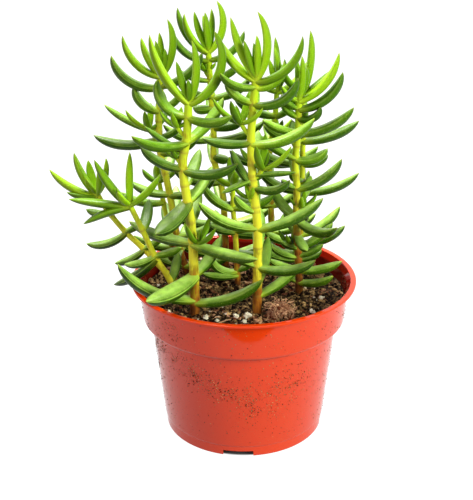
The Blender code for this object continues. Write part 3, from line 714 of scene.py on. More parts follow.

# %% [markdown]
# The colour is mixed in layers, each laid over the last by its trait: a Mix node's inputs 0, 6
# and 7 are the amount and the two colours. Leaves differ a little in hue and much in brightness,
# and the underside is painted darker as painted shade.

# %% Leaf skin: colour and surface
skin = linear("#86B30E")
for layers, socket, change in (
        ((("young", "#5F8D0A"), ("mature", "#375E07")), "Hue", "hue"),
        # painted shade: this layer's value is lowered on the underside
        ((("clasp", "#AFBC28"), ("point", "#B9B046"), ("freckle", "#A9C54A")), "Value", "below"),
        # the upper face is lightened by a wax bloom and a painted sheen
        ((("bloom_and_painted_sheen", "#B2DC5E"), ("margin", "#C2DA62")), "Value", "brightness")):
    for amount, tint in layers:
        skin = add(tree, "ShaderNodeMix", {0: trait[amount], 6: skin, 7: linear(tint)}, data_type="RGBA")
    skin = add(tree, "ShaderNodeHueSaturation", {"Color": skin, socket: trait[change]})
relief = add(tree, "ShaderNodeBump", {"Height": grain, "Strength": 0.25, "Distance": 0.3 * MM})
surface = add(tree, "ShaderNodeBsdfPrincipled", {
    "Base Color": skin, "Roughness": trait["gloss"], "Specular IOR Level": 0.18, "Normal": relief,
    "Subsurface Weight": 0.25, "Subsurface Radius": (0.8, 1.0, 0.25), "Subsurface Scale": 1.2 * MM})
add(tree, "ShaderNodeOutputMaterial", {"Surface": surface})
print("leaf skin:", len(tree.nodes), "nodes")

# %% [markdown]
# **Stem skin.** A young stem is smooth and yellow-green. From the soil up it turns to bark: dark
# brown at the foot, then orange-brown and gold. The amount of bark is stored on the stem per
# point, and so are the thin brown rings where pairs of leaves stand. Streaks and blotches shift
# the amount, so that no two stems change colour in an even line.

# %% Stem skin
stem_skin, tree = new_material("crassula stem skin")
place = add(tree, "ShaderNodeTexCoord").outputs["Object"]
bark, green, ring_mark = [
    add(tree, "ShaderNodeAttribute", attribute_name=name).outputs["Fac"]
    for name in ("bark", "green", "ring")]
stretched = add(tree, "ShaderNodeMapping", {"Vector": place, "Scale": (1.0, 1.0, 0.12)})
streak = add(tree, "ShaderNodeTexNoise", {"Vector": stretched, "Scale": 1500.0, "Detail": 3.0})
blotch = add(tree, "ShaderNodeTexNoise", {"Vector": place, "Scale": 170.0, "Detail": 2.0})
depth = bark
for pattern, begin, stop, swing in ((streak, 0.3, 0.7, 0.2), (blotch, 0.35, 0.65, 0.22)):
    shift = add(tree, "ShaderNodeMapRange", {
        "Value": pattern, "From Min": begin, "From Max": stop, "To Min": -swing, "To Max": swing})
    depth = add(tree, "ShaderNodeMath", {0: depth, 1: shift}, operation="ADD")
skin = add(tree, "ShaderNodeMix", {0: green, 6: linear("#DDD433"), 7: linear("#AFCB1E")}, data_type="RGBA")
for begin, stop, tint in ((0.06, 0.4, "#A08C1A"), (0.4, 0.72, "#935619"), (0.75, 1.05, "#5A3112")):
    amount = add(tree, "ShaderNodeMapRange", {"Value": depth, "From Min": begin, "From Max": stop})
    skin = add(tree, "ShaderNodeMix", {0: amount, 6: skin, 7: linear(tint)}, data_type="RGBA")
scar = add(tree, "ShaderNodeMath", {0: ring_mark, 1: 0.6}, operation="MULTIPLY")
skin = add(tree, "ShaderNodeMix", {0: scar, 6: skin, 7: linear("#9A7A33")}, data_type="RGBA")
relief = add(tree, "ShaderNodeBump", {"Height": streak, "Strength": 0.3, "Distance": 0.3 * MM})
surface = add(tree, "ShaderNodeBsdfPrincipled", {
    "Base Color": skin, "Roughness": 0.45, "Specular IOR Level": 0.3, "Normal": relief,
    "Subsurface Weight": 0.15, "Subsurface Radius": (1.0, 0.8, 0.25), "Subsurface Scale": 1.2 * MM})
add(tree, "ShaderNodeOutputMaterial", {"Surface": surface})
print("stem skin:", len(tree.nodes), "nodes")

# %% [markdown]
# ** Polypropylene.** The pot is injection-moulded from dyed plastic: one saturated orange-red with
# a clear gloss, in which pale surroundings show as a thin white veil. The inside is painted a dark
# red, down from the lip, as painted shade; a value stored per point says where the inside is.

# %% Pot plastic
pot_plastic, tree = new_material("injection-moulded polypropylene")
place = add(tree, "ShaderNodeTexCoord").outputs["Object"]
cloud = add(tree, "ShaderNodeTexNoise", {"Vector": place, "Scale": 45.0, "Detail": 4.0})
gloss = add(tree, "ShaderNodeMapRange", {"Value": cloud, "To Min": 0.02, "To Max": 0.1})
flow = add(tree, "ShaderNodeTexNoise", {"Vector": place, "Scale": 260.0, "Detail": 2.0})
relief = add(tree, "ShaderNodeBump", {"Height": flow, "Strength": 0.05, "Distance": 0.2 * MM})
inside = add(tree, "ShaderNodeAttribute", attribute_name="inside").outputs["Fac"]
# painted shade: the inside of the pot is coloured a dark red
dye_and_painted_shade = add(tree, "ShaderNodeMix", {0: inside, 6: linear("#DC3A06"), 7: linear("#7A1206")}, data_type="RGBA")
surface = add(tree, "ShaderNodeBsdfPrincipled", {
    "Base Color": dye_and_painted_shade, "Roughness": gloss, "IOR": 1.38, "Normal": relief,
    "Subsurface Weight": 0.08, "Subsurface Radius": (1.0, 0.25, 0.1), "Subsurface Scale": 1.5 * MM})
add(tree, "ShaderNodeOutputMaterial", {"Surface": surface})
print("pot plastic:", len(tree.nodes), "nodes")

# %% [markdown]
# **Soil, perlite, coir.** Potting soil is dark peat with crumbs of many browns. Each crumb gets a
# stored random tone, and the same tree with other colours makes the white perlite and the tan
# coir. All three scatter light almost without a gloss.

# %% Soil, perlite and coir
grainy = {}
for label, dark_end, light_end, rough in (
        ("peat soil", "#150804", "#C9A06C", 0.9), ("expanded perlite", "#CFC3B2", "#F6EBD6", 0.8),
        ("coir", "#6B3722", "#E8B48E", 0.85)):
    grainy[label], tree = new_material(label)
    place = add(tree, "ShaderNodeTexCoord").outputs["Object"]
    tone = add(tree, "ShaderNodeAttribute", attribute_name="tone").outputs["Fac"]
    speck = add(tree, "ShaderNodeTexNoise", {"Vector": place, "Scale": 900.0, "Detail": 3.0})
    spread = add(tree, "ShaderNodeMapRange", {
        "Value": speck, "From Min": 0.3, "From Max": 0.7, "To Min": -0.35, "To Max": 0.25})
    level = add(tree, "ShaderNodeMath", {0: tone, 1: spread}, operation="ADD", use_clamp=True)
    colour = add(tree, "ShaderNodeMix", {0: level, 6: linear(dark_end), 7: linear(light_end)},
                 data_type="RGBA")
    relief = add(tree, "ShaderNodeBump", {"Height": speck, "Strength": 0.6, "Distance": 0.6 * MM})
    surface = add(tree, "ShaderNodeBsdfPrincipled", {
        "Base Color": colour, "Roughness": rough, "Specular IOR Level": 0.12, "Normal": relief})
    add(tree, "ShaderNodeOutputMaterial", {"Surface": surface})
print("soil finishes:", list(grainy))

# %% [markdown]
# ## Leaves and stems
#
# A leaf and a stem are made alike: a section is swept along a line and changes its size on the
# way. The tree below takes a mesh of bare edge chains with a half-width and a sideways direction
# stored per point, and returns the closed skin. The section is a circle whose upper and lower
# halves are made flatter or rounder, less a shallow channel along the middle of the top. Those
# three are named inputs, so the same tree makes slim leaves, round stems and fibres.

# %% The tree that sweeps a skin along lines
CHANNEL_NARROWNESS = 2.5
sweep, given, end = new_tree("swept skin", [
    ("Sides", "Int"), ("Above", "Float"), ("Below", "Float"), ("Channel", "Float"),
    ("Material", "Material")])
section = add(sweep, "GeometryNodeCurvePrimitiveCircle", {"Resolution": given["Sides"], "Radius": 1.0})
section = add(sweep, "GeometryNodeStoreNamedAttribute", {
    "Geometry": section, "Name": "around", "Value": add(sweep, "GeometryNodeSplineParameter")},
    data_type="FLOAT")
corner = add(sweep, "ShaderNodeSeparateXYZ", {0: add(sweep, "GeometryNodeInputPosition")}).outputs
# Across the section, the channel's depth is Channel * exp(-(2.5 * x) ** 2).
dip = add(sweep, "ShaderNodeMath", {0: corner["X"], 1: CHANNEL_NARROWNESS}, operation="MULTIPLY")
dip = add(sweep, "ShaderNodeMath", {0: dip, 1: 2.0}, operation="POWER")
dip = add(sweep, "ShaderNodeMath", {0: dip, 1: -1.0}, operation="MULTIPLY")
dip = add(sweep, "ShaderNodeMath", {0: dip}, operation="EXPONENT")
dip = add(sweep, "ShaderNodeMath", {0: dip, 1: given["Channel"]}, operation="MULTIPLY")
lift = add(sweep, "ShaderNodeMath", {0: given["Above"], 1: dip}, operation="SUBTRACT")
upper = add(sweep, "ShaderNodeMath", {0: corner["Y"], 1: 0.0}, operation="MAXIMUM")
upper = add(sweep, "ShaderNodeMath", {0: upper, 1: lift}, operation="MULTIPLY")
lower = add(sweep, "ShaderNodeMath", {0: corner["Y"], 1: 0.0}, operation="MINIMUM")
lower = add(sweep, "ShaderNodeMath", {0: lower, 1: given["Below"]}, operation="MULTIPLY")
height = add(sweep, "ShaderNodeMath", {0: upper, 1: lower}, operation="ADD")
shaped = add(sweep, "ShaderNodeCombineXYZ", {"X": corner["X"], "Y": height})
section = add(sweep, "GeometryNodeSetPosition", {"Geometry": section, "Position": shaped})
lines = add(sweep, "GeometryNodeMeshToCurve", {"Mesh": given["Geometry"]})
side = add(sweep, "GeometryNodeInputNamedAttribute", {"Name": "side"}, data_type="FLOAT_VECTOR")
lines = add(sweep, "GeometryNodeSetCurveNormal", {"Curve": lines, "Normal": side}, mode="FREE")
size = add(sweep, "GeometryNodeInputNamedAttribute", {"Name": "half_width"}, data_type="FLOAT")
skin = add(sweep, "GeometryNodeCurveToMesh", {
    "Curve": lines, "Profile Curve": section, "Scale": size, "Fill Caps": True})
smooth = add(sweep, "GeometryNodeSetShadeSmooth", {0: skin, "Shade Smooth": True})
whole = add(sweep, "GeometryNodeRealizeInstances", {0: smooth})
painted = add(sweep, "GeometryNodeSetMaterial", {"Geometry": whole, "Material": given["Material"]})
sweep.links.new(painted.outputs[0], end.inputs[0])
print("swept skin:", len(sweep.nodes), "nodes")

# %% [markdown]
# The lines need a sideways direction at every point that turns with the line and never flips. For
# a leaf it is level, so that the channel looks up; for a stem any steady direction serves.
# `Strands` gathers many lines with their values and makes one object of them.

# %% Lines with values for the sweep


def frames(line):
    """Unit sideways vectors along a line: level, and square to its direction."""
    along = np.gradient(line, axis=0)
    along /= np.linalg.norm(along, axis=1)[:, None] + 1e-9
    flat = line[-1] - line[0]
    side = np.array([-flat[1], flat[0], 0.0])
    if np.linalg.norm(side) < 0.2 or abs(flat[2]) > 2 * np.linalg.norm(side):
        side = np.array([0.0, 1.0, 0.0])
    side = side - along * (along @ side)[:, None]
    return side / (np.linalg.norm(side, axis=1)[:, None] + 1e-9)


class Strands:
    """Lines in mm, each with a half-width per point and any other named values."""

    def __init__(self):
        self.points, self.sides, self.edges, self.values = [], [], [], {}

    def add_line(self, line, **values):
        """One more line, with a number or one number per point for each name."""
        first = sum(map(len, self.points))
        self.edges += [(first + k, first + k + 1) for k in range(len(line) - 1)]
        self.points.append(line)
        self.sides.append(frames(line))
        for name, value in values.items():
            self.values.setdefault(name, []).append(np.broadcast_to(value, len(line)))

    def grown(self, name, **inputs):
        """All lines as one object with a skin swept along them."""
        obj = new_object(name, np.vstack(self.points), self.edges)
        mark(obj.data, "side", np.vstack(self.sides), "FLOAT_VECTOR")
        for label, parts in self.values.items():
            mark(obj.data, label, np.concatenate(parts) * (MM if label == "half_width" else 1))
        return grow(obj, sweep, inputs)


# %% [markdown]
# **Leaves.** Each leaf is a thick spindle with nineteen rings. Its age runs from 0 for the young
# leaves round the tip to 1 for the oldest near the soil.

# %% Leaves of every stem
LEAF_RINGS = 18
POINT_R = 0.07
YOUNGEST_PAIR = 0.35
OLDEST_AT_TIP = 0.25
AGE_SPREAD = 0.1
rng = random.Random(11)
for name, parts in plant.items():
    top = parts["line"][-1, 2]
    strands = Strands()
    for leaf in parts["leaves"]:
        line = leaf_line(leaf, LEAF_RINGS)
        along = np.linspace(0, 1, len(line))
        years = (top - leaf["root"][2]) / (top - SOIL_TOP)
        paired = leaf["kind"] == "leaf"
        years = YOUNGEST_PAIR + (1 - YOUNGEST_PAIR) * years if paired else OLDEST_AT_TIP * years
        years += rng.uniform(-AGE_SPREAD, AGE_SPREAD)
        strands.add_line(
            line, half_width=np.maximum(half_width(along, leaf), POINT_R), along=along,
            age=min(max(years, 0), 1), tone=rng.random())
    leaves = strands.grown(f"stem_{name}_leaves", Sides=16, Above=0.46, Below=1.0, Channel=0.1,
                           Material=leaf_skin)
    hand_over(leaves, "plant", "stem_" + name)

# %% [markdown]
# **Stems.** A stem is a round skin along its line. It swells a little where a pair of leaves
# stands and carries a thin scar there, and the bark reaches a height of its own on each stem.
# The short stalks of the side shoots belong to the same piece.

# %% Stems and stalks
BARK_TOP = dict(a=96, b=98, c=124, d=98, e=76, f=76, g=104, h=112, i=112, j=90, k=112)
STEM_STEP = 0.7
SWELL, SWELL_REACH = 0.2, 1.6
SCAR_REACH = 0.5
STALK_RINGS = 8
for name, parts in plant.items():
    line = stem_line(STEMS[name]["path"], STEM_STEP)
    height = line[:, 2]
    share = np.clip((height - SOIL_TOP) / (line[-1, 2] - SOIL_TOP), 0, 1)
    foot_r, tip_r = parts["radii"]
    knots = np.array([pair[0] for pair in STEMS[name]["pairs"]], float)
    near = np.abs(height[:, None] - knots[None]).min(axis=1)
    radius = foot_r + (tip_r - foot_r) * share + SWELL * np.exp(-(near / SWELL_REACH) ** 2)
    radius[-1] *= 0.6
    bark = 1 - (height - SOIL_TOP) / (BARK_TOP[name] - SOIL_TOP)
    strands = Strands()
    strands.add_line(line, half_width=radius, bark=np.clip(bark, 0, 1), green=share ** 2,
                     ring=np.exp(-(near / SCAR_REACH) ** 2))
    for stalk in parts["stalks"]:
        strands.add_line(leaf_line(stalk, STALK_RINGS), half_width=STALK_R, bark=0.0, green=1.0, ring=0.0)
    wood = strands.grown(f"stem_{name}_wood", Sides=20, Above=1.0, Below=1.0, Channel=0.0,
                         Material=stem_skin)
    hand_over(wood, "plant", "stem_" + name)

# %% [markdown]
# ## The pot
#
# A nursery pot is moulded in one shot: a flat lip, a collar under it that lets pots stack, a step,
# a tapered body and a foot ring with four drainage notches. Its section is turned about the axis.
# Every outer corner is rounded first, because plastic flows into a mould with small radii, and
# those edges catch the light. A corner is given as its radius from the axis, its height and its
# rounding.

# %% The pot's rounded section
WALL = 1.1
BASE_R = 37.9
FOOT = (38.6, 5.5)
BODY_TOP = (43.8, 54.0)
COLLAR_LOW = (47.5, 55.6)
COLLAR_TOP = (49.2, 73.2)
LIP_MIDDLE = (51.2, LIP_TOP)
POT_SECTION = [
    (50.0, LIP_TOP, 0.3), (LIP_R, LIP_TOP, 0.5), (LIP_R, 73.3, 0.4), (*COLLAR_TOP, 0.4),
    (*COLLAR_LOW, 0.9), (*BODY_TOP, 0.8), (*FOOT, 0.25), (38.1, 5.1, 0.2), (BASE_R, 0.0, 0.3),
    (36.7, 0.0, 0.3), (36.5, 3.2, 0.3), (7.6, 3.2, 0.4), (7.0, 0.0, 0.3), (0.0, 0.0, 0.0),
    (0.0, 4.4, 0.0), (37.2, 4.4, 0.5), (42.6, 53.5, 0.6), (46.3, 56.5, 0.6), (48.0, 71.8, 0.4),
]


def rounded(section, steps=4, margin=0.3, long_side=2):
    """The corners (r, z, radius) of a closed section, each with an arc in its place.

    A long straight side gets a point a little in from each end, so that it shades flat.
    """
    line = []
    for k, (r, z, radius) in enumerate(section):
        here = np.array([r, z])
        back = np.array(section[k - 1][:2]) - here
        ahead = np.array(section[(k + 1) % len(section)][:2]) - here
        reach = min(radius, 0.45 * np.linalg.norm(back), 0.45 * np.linalg.norm(ahead))
        first = here + back / np.linalg.norm(back) * reach
        last = here + ahead / np.linalg.norm(ahead) * reach
        if radius and np.linalg.norm(back) > long_side:
            line.append(here + back / np.linalg.norm(back) * (reach + margin))
        for t in np.linspace(0, 1, steps + 1 if radius else 1):
            line.append((1 - t) ** 2 * first + 2 * t * (1 - t) * here + t ** 2 * last)
        if radius and np.linalg.norm(ahead) > long_side:
            line.append(here + ahead / np.linalg.norm(ahead) * (reach + margin))
    return np.maximum(np.array(line), 0)


def pot_radius(z):
    """Radius of the pot's outside at a height, up to the middle of the lip."""
    radii, heights = zip(FOOT, BODY_TOP, COLLAR_LOW, COLLAR_TOP, LIP_MIDDLE)
    return np.interp(z, heights, radii)


section_line = rounded(POT_SECTION)
print(len(POT_SECTION), "corners,", len(section_line), "points after rounding")

# %% Turn the section
POT_STEPS = 180


def outward(obj):
    """Turns every face of a closed mesh outwards."""
    work = bmesh.new()
    work.from_mesh(obj.data)
    bmesh.ops.recalc_face_normals(work, faces=work.faces)
    work.to_mesh(obj.data)
    work.free()
    return obj


def ring(r, steps):
    """Points (x, y) of a circle in mm."""
    return [(r * math.cos(math.tau * j / steps), r * math.sin(math.tau * j / steps)) for j in range(steps)]


def turned(name, line, steps):
    """Surface of revolution of a closed line of (r, z) points in mm; points at r = 0 are poles."""
    points, rows, faces = [], [], []
    for r, z in line:
        pole = r < 1e-6
        rows.append([len(points) + (0 if pole else j) for j in range(steps)])
        points += [(0, 0, z)] if pole else [(x, y, z) for x, y in ring(r, steps)]
    for low, high in zip(rows, rows[1:] + rows[:1]):
        for j in range(steps):
            corners = dict.fromkeys((low[j], low[(j + 1) % steps], high[(j + 1) % steps], high[j]))
            if len(corners) > 2:
                faces.append(tuple(corners))
    return outward(new_object(name, points, faces=faces))


pot_shell = turned("pot_shell", section_line, POT_STEPS)
print("turned pot:", len(pot_shell.data.polygons), "faces")

# %% [markdown]
# Each notch is cut with a Boolean: a square block, reaching through the foot ring and a little
# below it, is taken out of the pot.

# %% Cut the notches
NOTCHES = 4
NOTCH_WIDTH, NOTCH_HEIGHT, NOTCH_REACH = 14.0, 2.6, 4
NOTCH_TURN = -94.0
BLOCK_END = ((-1, -2), (1, -2), (1, NOTCH_HEIGHT), (-1, NOTCH_HEIGHT))
for k in range(NOTCHES):
    turn = math.radians(NOTCH_TURN + 360 * k / NOTCHES)
    out = np.array([math.cos(turn), math.sin(turn), 0])
    across = np.array([-out[1], out[0], 0])
    corners = [out * r + across * side * NOTCH_WIDTH / 2 + (0, 0, z)
               for r in (BASE_R - NOTCH_REACH, BASE_R + NOTCH_REACH) for side, z in BLOCK_END]
    block = outward(new_object("notch", corners, faces=[
        (0, 1, 2, 3), (7, 6, 5, 4), (0, 4, 5, 1), (1, 5, 6, 2), (2, 6, 7, 3), (3, 7, 4, 0)]))
    cut = pot_shell.modifiers.new("notch", "BOOLEAN")
    cut.operation, cut.object = "DIFFERENCE", block
    baked(pot_shell)
    bpy.data.objects.remove(block)
print("pot with notches:", len(pot_shell.data.polygons), "faces")

# %% [markdown]
# The painted shade needs to know the inside. Its points are those that lie nearer the axis than the
# middle of the wall, from the floor to just under the top of the lip. The walls are shaded
# smooth, and edges that turn by more than 35 degrees stay sharp.

# %% Mark the inside and hand over the pot
PAINTED_SHADE_FROM, PAINTED_SHADE_TO = 4, 74.3
SHARP_ANGLE = 35
spots = np.array([vert.co for vert in pot_shell.data.vertices]) / MM
radii, heights = np.hypot(spots[:, 0], spots[:, 1]), spots[:, 2]
# points of the inside, which get the painted shade
painted_shade_inside = (radii < pot_radius(heights) - WALL / 2) & (heights > PAINTED_SHADE_FROM) & (heights < PAINTED_SHADE_TO)
mark(pot_shell.data, "inside", painted_shade_inside)
print("stained points of the pot:", painted_shade_inside.sum())
pot_shell.data.shade_smooth()
pot_shell.data.set_sharp_from_angle(angle=math.radians(SHARP_ANGLE))
pot_shell.data.materials.clear()
pot_shell.data.materials.append(pot_plastic)
hand_over(pot_shell, "pot", "pot")

# %% [markdown]
# ## The soil
#
# The bed fills the pot to seven millimetres below the rim. Its gentle swells are those of the
# solid model, and lumps of peat give it relief at smaller scales. The middle of the bed, its rings
# of points and its underside are joined to one closed mesh.

# %% Height of the bed, and faces between rings
SOIL_BUMP = 0.7
LUMP_WIDTH, LUMP_HEIGHT, LUMP_SINK = 3.2, 1.0, 0.35


def soil_height(x, y):
    """The solid model's gentle unevenness of the soil's top."""
    wave = math.sin(0.31 * x + 1.3) * math.cos(0.27 * y - 0.4) + 0.6 * math.sin(0.17 * x - 0.22 * y)
    return SOIL_TOP + SOIL_BUMP * wave / 1.6


def bed_height(x, y):
    """The same with the lumps of the peat."""
    lumps = noise.fractal(Vector((x, y, 3.0)) / LUMP_WIDTH, 0.9, 2.0, 4)
    return soil_height(x, y) + LUMP_HEIGHT * lumps - LUMP_SINK


def ring_quads(rings, steps, first=0):
    """Faces that join each ring of points to the next one."""
    faces = []
    for i in range(rings - 1):
        low, high = first + i * steps, first + (i + 1) * steps
        for j in range(steps):
            k = (j + 1) % steps
            faces.append((low + j, high + j, high + k, low + k))
    return faces


print(f"height of the bed in the middle: {bed_height(0, 0):.1f} mm")

# %% The bed
SOIL_R = 47.0
BED_RINGS, BED_STEPS = 80, 220
BED_DEPTH = 5
BED_TAPER = 0.99
DARKEST, TONE_SPREAD, TONE_WIDTH = 0.04, 0.4, 1.1
points = [(0, 0, bed_height(0, 0))]
for i in range(1, BED_RINGS + 1):
    points += [(x, y, bed_height(x, y)) for x, y in ring(SOIL_R * i / BED_RINGS, BED_STEPS)]
points += [(x * BED_TAPER, y * BED_TAPER, SOIL_TOP - BED_DEPTH) for x, y, _ in points[-BED_STEPS:]]
points.append((0, 0, SOIL_TOP - BED_DEPTH))
faces = ring_quads(BED_RINGS + 1, BED_STEPS, first=1)
last = 1 + BED_RINGS * BED_STEPS
for j in range(BED_STEPS):
    k = (j + 1) % BED_STEPS
    faces += [(0, 1 + j, 1 + k), (last + j, len(points) - 1, last + k)]
soil_bed = new_object("soil_bed", points, faces=faces, material=grainy["peat soil"])
tones = [DARKEST + TONE_SPREAD * noise.noise(Vector(point) / TONE_WIDTH) for point in points]
mark(soil_bed.data, "tone", np.clip(tones, 0, 1))
soil_bed.data.shade_smooth()
hand_over(soil_bed, "soil", "soil")

# %% [markdown]
# Crumbs, bits of bark and perlite lie on the bed. One tree scatters them all: it strews points
# over a surface, thicker where the surface says so, and sets a lump on each, with a random size,
# turn, stretch and tone. Small lumps are far more common than large ones, and dark ones than
# light ones. The tone has a seed of its own, or else large lumps would all be light.

# %% The tree that scatters lumps
OTHER_SEED = 50.0
DARK_TONES = 2.6
strew, given, end = new_tree("strewn lumps", [
    ("Density", "Float"), ("Small", "Float"), ("Large", "Float"), ("Rarity", "Float"),
    ("Stretch", "Vector"), ("Detail", "Int"), ("Ruggedness", "Float"), ("Seed", "Int"),
    ("Material", "Material")])
dense = add(strew, "GeometryNodeInputNamedAttribute", {"Name": "density"}, data_type="FLOAT")
dense = add(strew, "ShaderNodeMath", {0: dense, 1: given["Density"]}, operation="MULTIPLY")
spots = add(strew, "GeometryNodeDistributePointsOnFaces", {
    "Mesh": given["Geometry"], "Density": dense, "Seed": given["Seed"]}, distribute_method="RANDOM")
lump = add(strew, "GeometryNodeMeshIcoSphere", {"Radius": 1.0, "Subdivisions": given["Detail"]})
rugged = add(strew, "ShaderNodeTexNoise", {"Scale": 1.3, "Detail": 2.0}).outputs["Color"]
rugged = add(strew, "ShaderNodeVectorMath", {0: rugged, 1: (0.5, 0.5, 0.5)}, operation="SUBTRACT")
rugged = add(strew, "ShaderNodeVectorMath", {0: rugged, "Scale": given["Ruggedness"]}, operation="SCALE")
lump = add(strew, "GeometryNodeSetPosition", {"Geometry": lump, "Offset": rugged})
chance = add(strew, "FunctionNodeRandomValue", {"Seed": given["Seed"]}, data_type="FLOAT")
chance = add(strew, "ShaderNodeMath", {0: chance, 1: given["Rarity"]}, operation="POWER")
size = add(strew, "ShaderNodeMapRange", {"Value": chance, "To Min": given["Small"], "To Max": given["Large"]})
uneven, turn = [
    add(strew, "FunctionNodeRandomValue", {0: least, 1: most, "Seed": given["Seed"]},
        data_type="FLOAT_VECTOR")
    for least, most in (((0.65, 0.65, 0.65), (1.3, 1.3, 1.3)), ((-0.5, -0.5, 0.0), (0.5, 0.5, math.tau)))]
uneven = add(strew, "ShaderNodeVectorMath", {0: uneven, 1: given["Stretch"]}, operation="MULTIPLY")
size = add(strew, "ShaderNodeVectorMath", {0: uneven, "Scale": size}, operation="SCALE")
other_seed = add(strew, "ShaderNodeMath", {0: given["Seed"], 1: OTHER_SEED}, operation="ADD")
tone = add(strew, "FunctionNodeRandomValue", {"Seed": other_seed}, data_type="FLOAT")
tone = add(strew, "ShaderNodeMath", {0: tone, 1: DARK_TONES}, operation="POWER")
spots = add(strew, "GeometryNodeStoreNamedAttribute", {"Geometry": spots, "Name": "tone", "Value": tone},
            data_type="FLOAT")
lumps = add(strew, "GeometryNodeInstanceOnPoints", {
    "Points": spots, "Instance": lump, "Rotation": turn, "Scale": size})
whole = add(strew, "GeometryNodeRealizeInstances", {0: lumps})
painted = add(strew, "GeometryNodeSetMaterial", {"Geometry": whole, "Material": given["Material"]})
strew.links.new(painted.outputs[0], end.inputs[0])
print("strewn lumps:", len(strew.nodes), "nodes")

# %% [markdown]
# The surface for scattering is a disc at the bed's height. Noise makes the crumbs lie in patches.
# A density is a number of lumps per square metre, and sizes are radii in millimetres.

# %% Crumbs, bark and perlite
HUB_R = 0.2
STREWN_R = SOIL_R - 0.8


def carrier(name, height, weight, rings=40, steps=90):
    """A disc at a height that depends on the place, with a scatter density per point."""
    points = [(x, y, height(x, y)) for i in range(rings + 1)
              for x, y in ring(HUB_R + (STREWN_R - HUB_R) * i / rings, steps)]
    obj = new_object(name, points, faces=ring_quads(rings + 1, steps))
    mark(obj.data, "density", [weight(x, y) for x, y, _ in points])
    return obj


def patchy(width, offset):
    """A density with thick and thin patches about so many millimetres wide."""
    return lambda x, y: max(0.0, 0.55 + 1.6 * noise.noise(Vector((x, y, offset)) / width))


def strewn(surface, density, small, large, rarity, stretch, detail, rugged, seed, label):
    """The object of a surface, replaced by lumps on it."""
    return grow(surface, strew, {
        "Density": density, "Small": small * MM, "Large": large * MM, "Rarity": rarity, "Stretch": stretch,
        "Detail": detail, "Ruggedness": rugged, "Seed": seed, "Material": grainy[label]})


for name, weight, *lumps in (
        ("soil_crumbs", patchy(9, 1), 1.9e6, 0.22, 1.35, 3.5, (1, 1, 0.8), 1, 0.8, 3, "peat soil"),
        ("soil_bark", patchy(11, 5), 1.6e5, 0.5, 1.4, 2.0, (2.4, 0.6, 0.4), 1, 0.5, 8, "coir"),
        ("soil_perlite", patchy(13, 9), 2.4e4, 0.3, 1.1, 2.5, (1, 1, 0.8), 2, 0.8, 13, "expanded perlite")):
    hand_over(strewn(carrier(name, bed_height, weight), *lumps), "soil", "soil")

# %% [markdown]
# The largest grains of perlite have places of their own: puffed white lumps with dents. Each is
# given by its place and its width.

# %% Large grains of perlite
GRAINS = (
    (0.5, -33, 2.4), (-8, -37, 1.2), (15, -37, 2.6), (31, -23, 3.0), (36, -9, 2.4),
    (38, 8, 2.2), (-34, -24, 2.4), (-12, -32, 1.8), (14, 6, 2.4), (30, 33, 2.2),
    (-3.5, -28.5, 3.0), (1.5, -28, 3.4), (-17, -29, 2.8), (21, 14, 3.0),
)
GRAIN_LIFT = 0.25
GRAIN_TONE = 0.8
work = bmesh.new()
for k, (x, y, size) in enumerate(GRAINS):
    seed = Vector((k * 7.0, 0, 0))
    for vert in bmesh.ops.create_icosphere(work, subdivisions=4, radius=1.0)["verts"]:
        puff = 0.75 + 0.7 * noise.noise(vert.co * 1.4 + seed) + 0.3 * noise.noise(vert.co * 3.6 + seed)
        vert.co = Vector((x, y, bed_height(x, y) + GRAIN_LIFT * size)) + vert.co * puff * size / 2
grains = new_object("perlite_grains", [vert.co for vert in work.verts],
                    faces=[[vert.index for vert in face.verts] for face in work.faces],
                    material=grainy["expanded perlite"])
work.free()
mark(grains.data, "tone", np.full(len(grains.data.vertices), GRAIN_TONE))
grains.data.shade_smooth()
hand_over(outward(grains), "soil", "soil")

# %% [markdown]
# A tuft of coir lies before the stem on the front right: a knot of coconut fibre with tan crumbs
# caught in it. The fibres wander from random spots in the tuft and are swept with the tree that
# made the stems.

# %% The tuft of coir
TUFT_AT = (16.5, -27.0)
TUFT_R = 6.5
TUFT_CORE, TUFT_FLATNESS = 0.6, 0.8
TUFT_HEAP = 6.0
TUFT_LOW, TUFT_HIGH = SOIL_TOP - 0.5, SOIL_TOP + 7.5
FIBRES = 110
FIBRE_STEPS, FIBRE_STEP = 9, 0.75
FIBRE_R = (0.09, 0.2)
FIBRE_RISE = (0.1, 1.2)
MORE_TURN, MORE_RISE = (-0.55, 0.75), (-0.55, 0.3)
rng = random.Random(21)
fibres = Strands()
for _ in range(FIBRES):
    turn, r = rng.uniform(0, math.tau), TUFT_R * TUFT_CORE * math.sqrt(rng.random())
    spot = np.array([TUFT_AT[0] + r * math.cos(turn), TUFT_AT[1] + TUFT_FLATNESS * r * math.sin(turn),
                     SOIL_TOP + rng.uniform(0, TUFT_HEAP) * (1 - (r / TUFT_R) ** 2)])
    heading, rise = rng.uniform(0, math.tau), rng.uniform(*FIBRE_RISE)
    line = [spot]
    for _ in range(FIBRE_STEPS):
        heading += rng.uniform(*MORE_TURN)
        rise += rng.uniform(*MORE_RISE)
        line.append(line[-1] + FIBRE_STEP * np.array([
            math.cos(rise) * math.cos(heading), math.cos(rise) * math.sin(heading), math.sin(rise)]))
    line = np.array(line)
    line[:, 2] = np.clip(line[:, 2], TUFT_LOW, TUFT_HIGH)
    fibres.add_line(line, half_width=rng.uniform(*FIBRE_R), tone=rng.uniform(0.2, 1.0))
fibres = fibres.grown("coir_fibres", Sides=5, Above=1.0, Below=1.0, Channel=0.0, Material=grainy["coir"])
hand_over(fibres, "soil", "soil")

# %% Crumbs in the tuft


def from_tuft(x, y):
    """Distance from the middle of the tuft, as a share of its radius."""
    return math.hypot(x - TUFT_AT[0], (y - TUFT_AT[1]) * 1.2) / TUFT_R


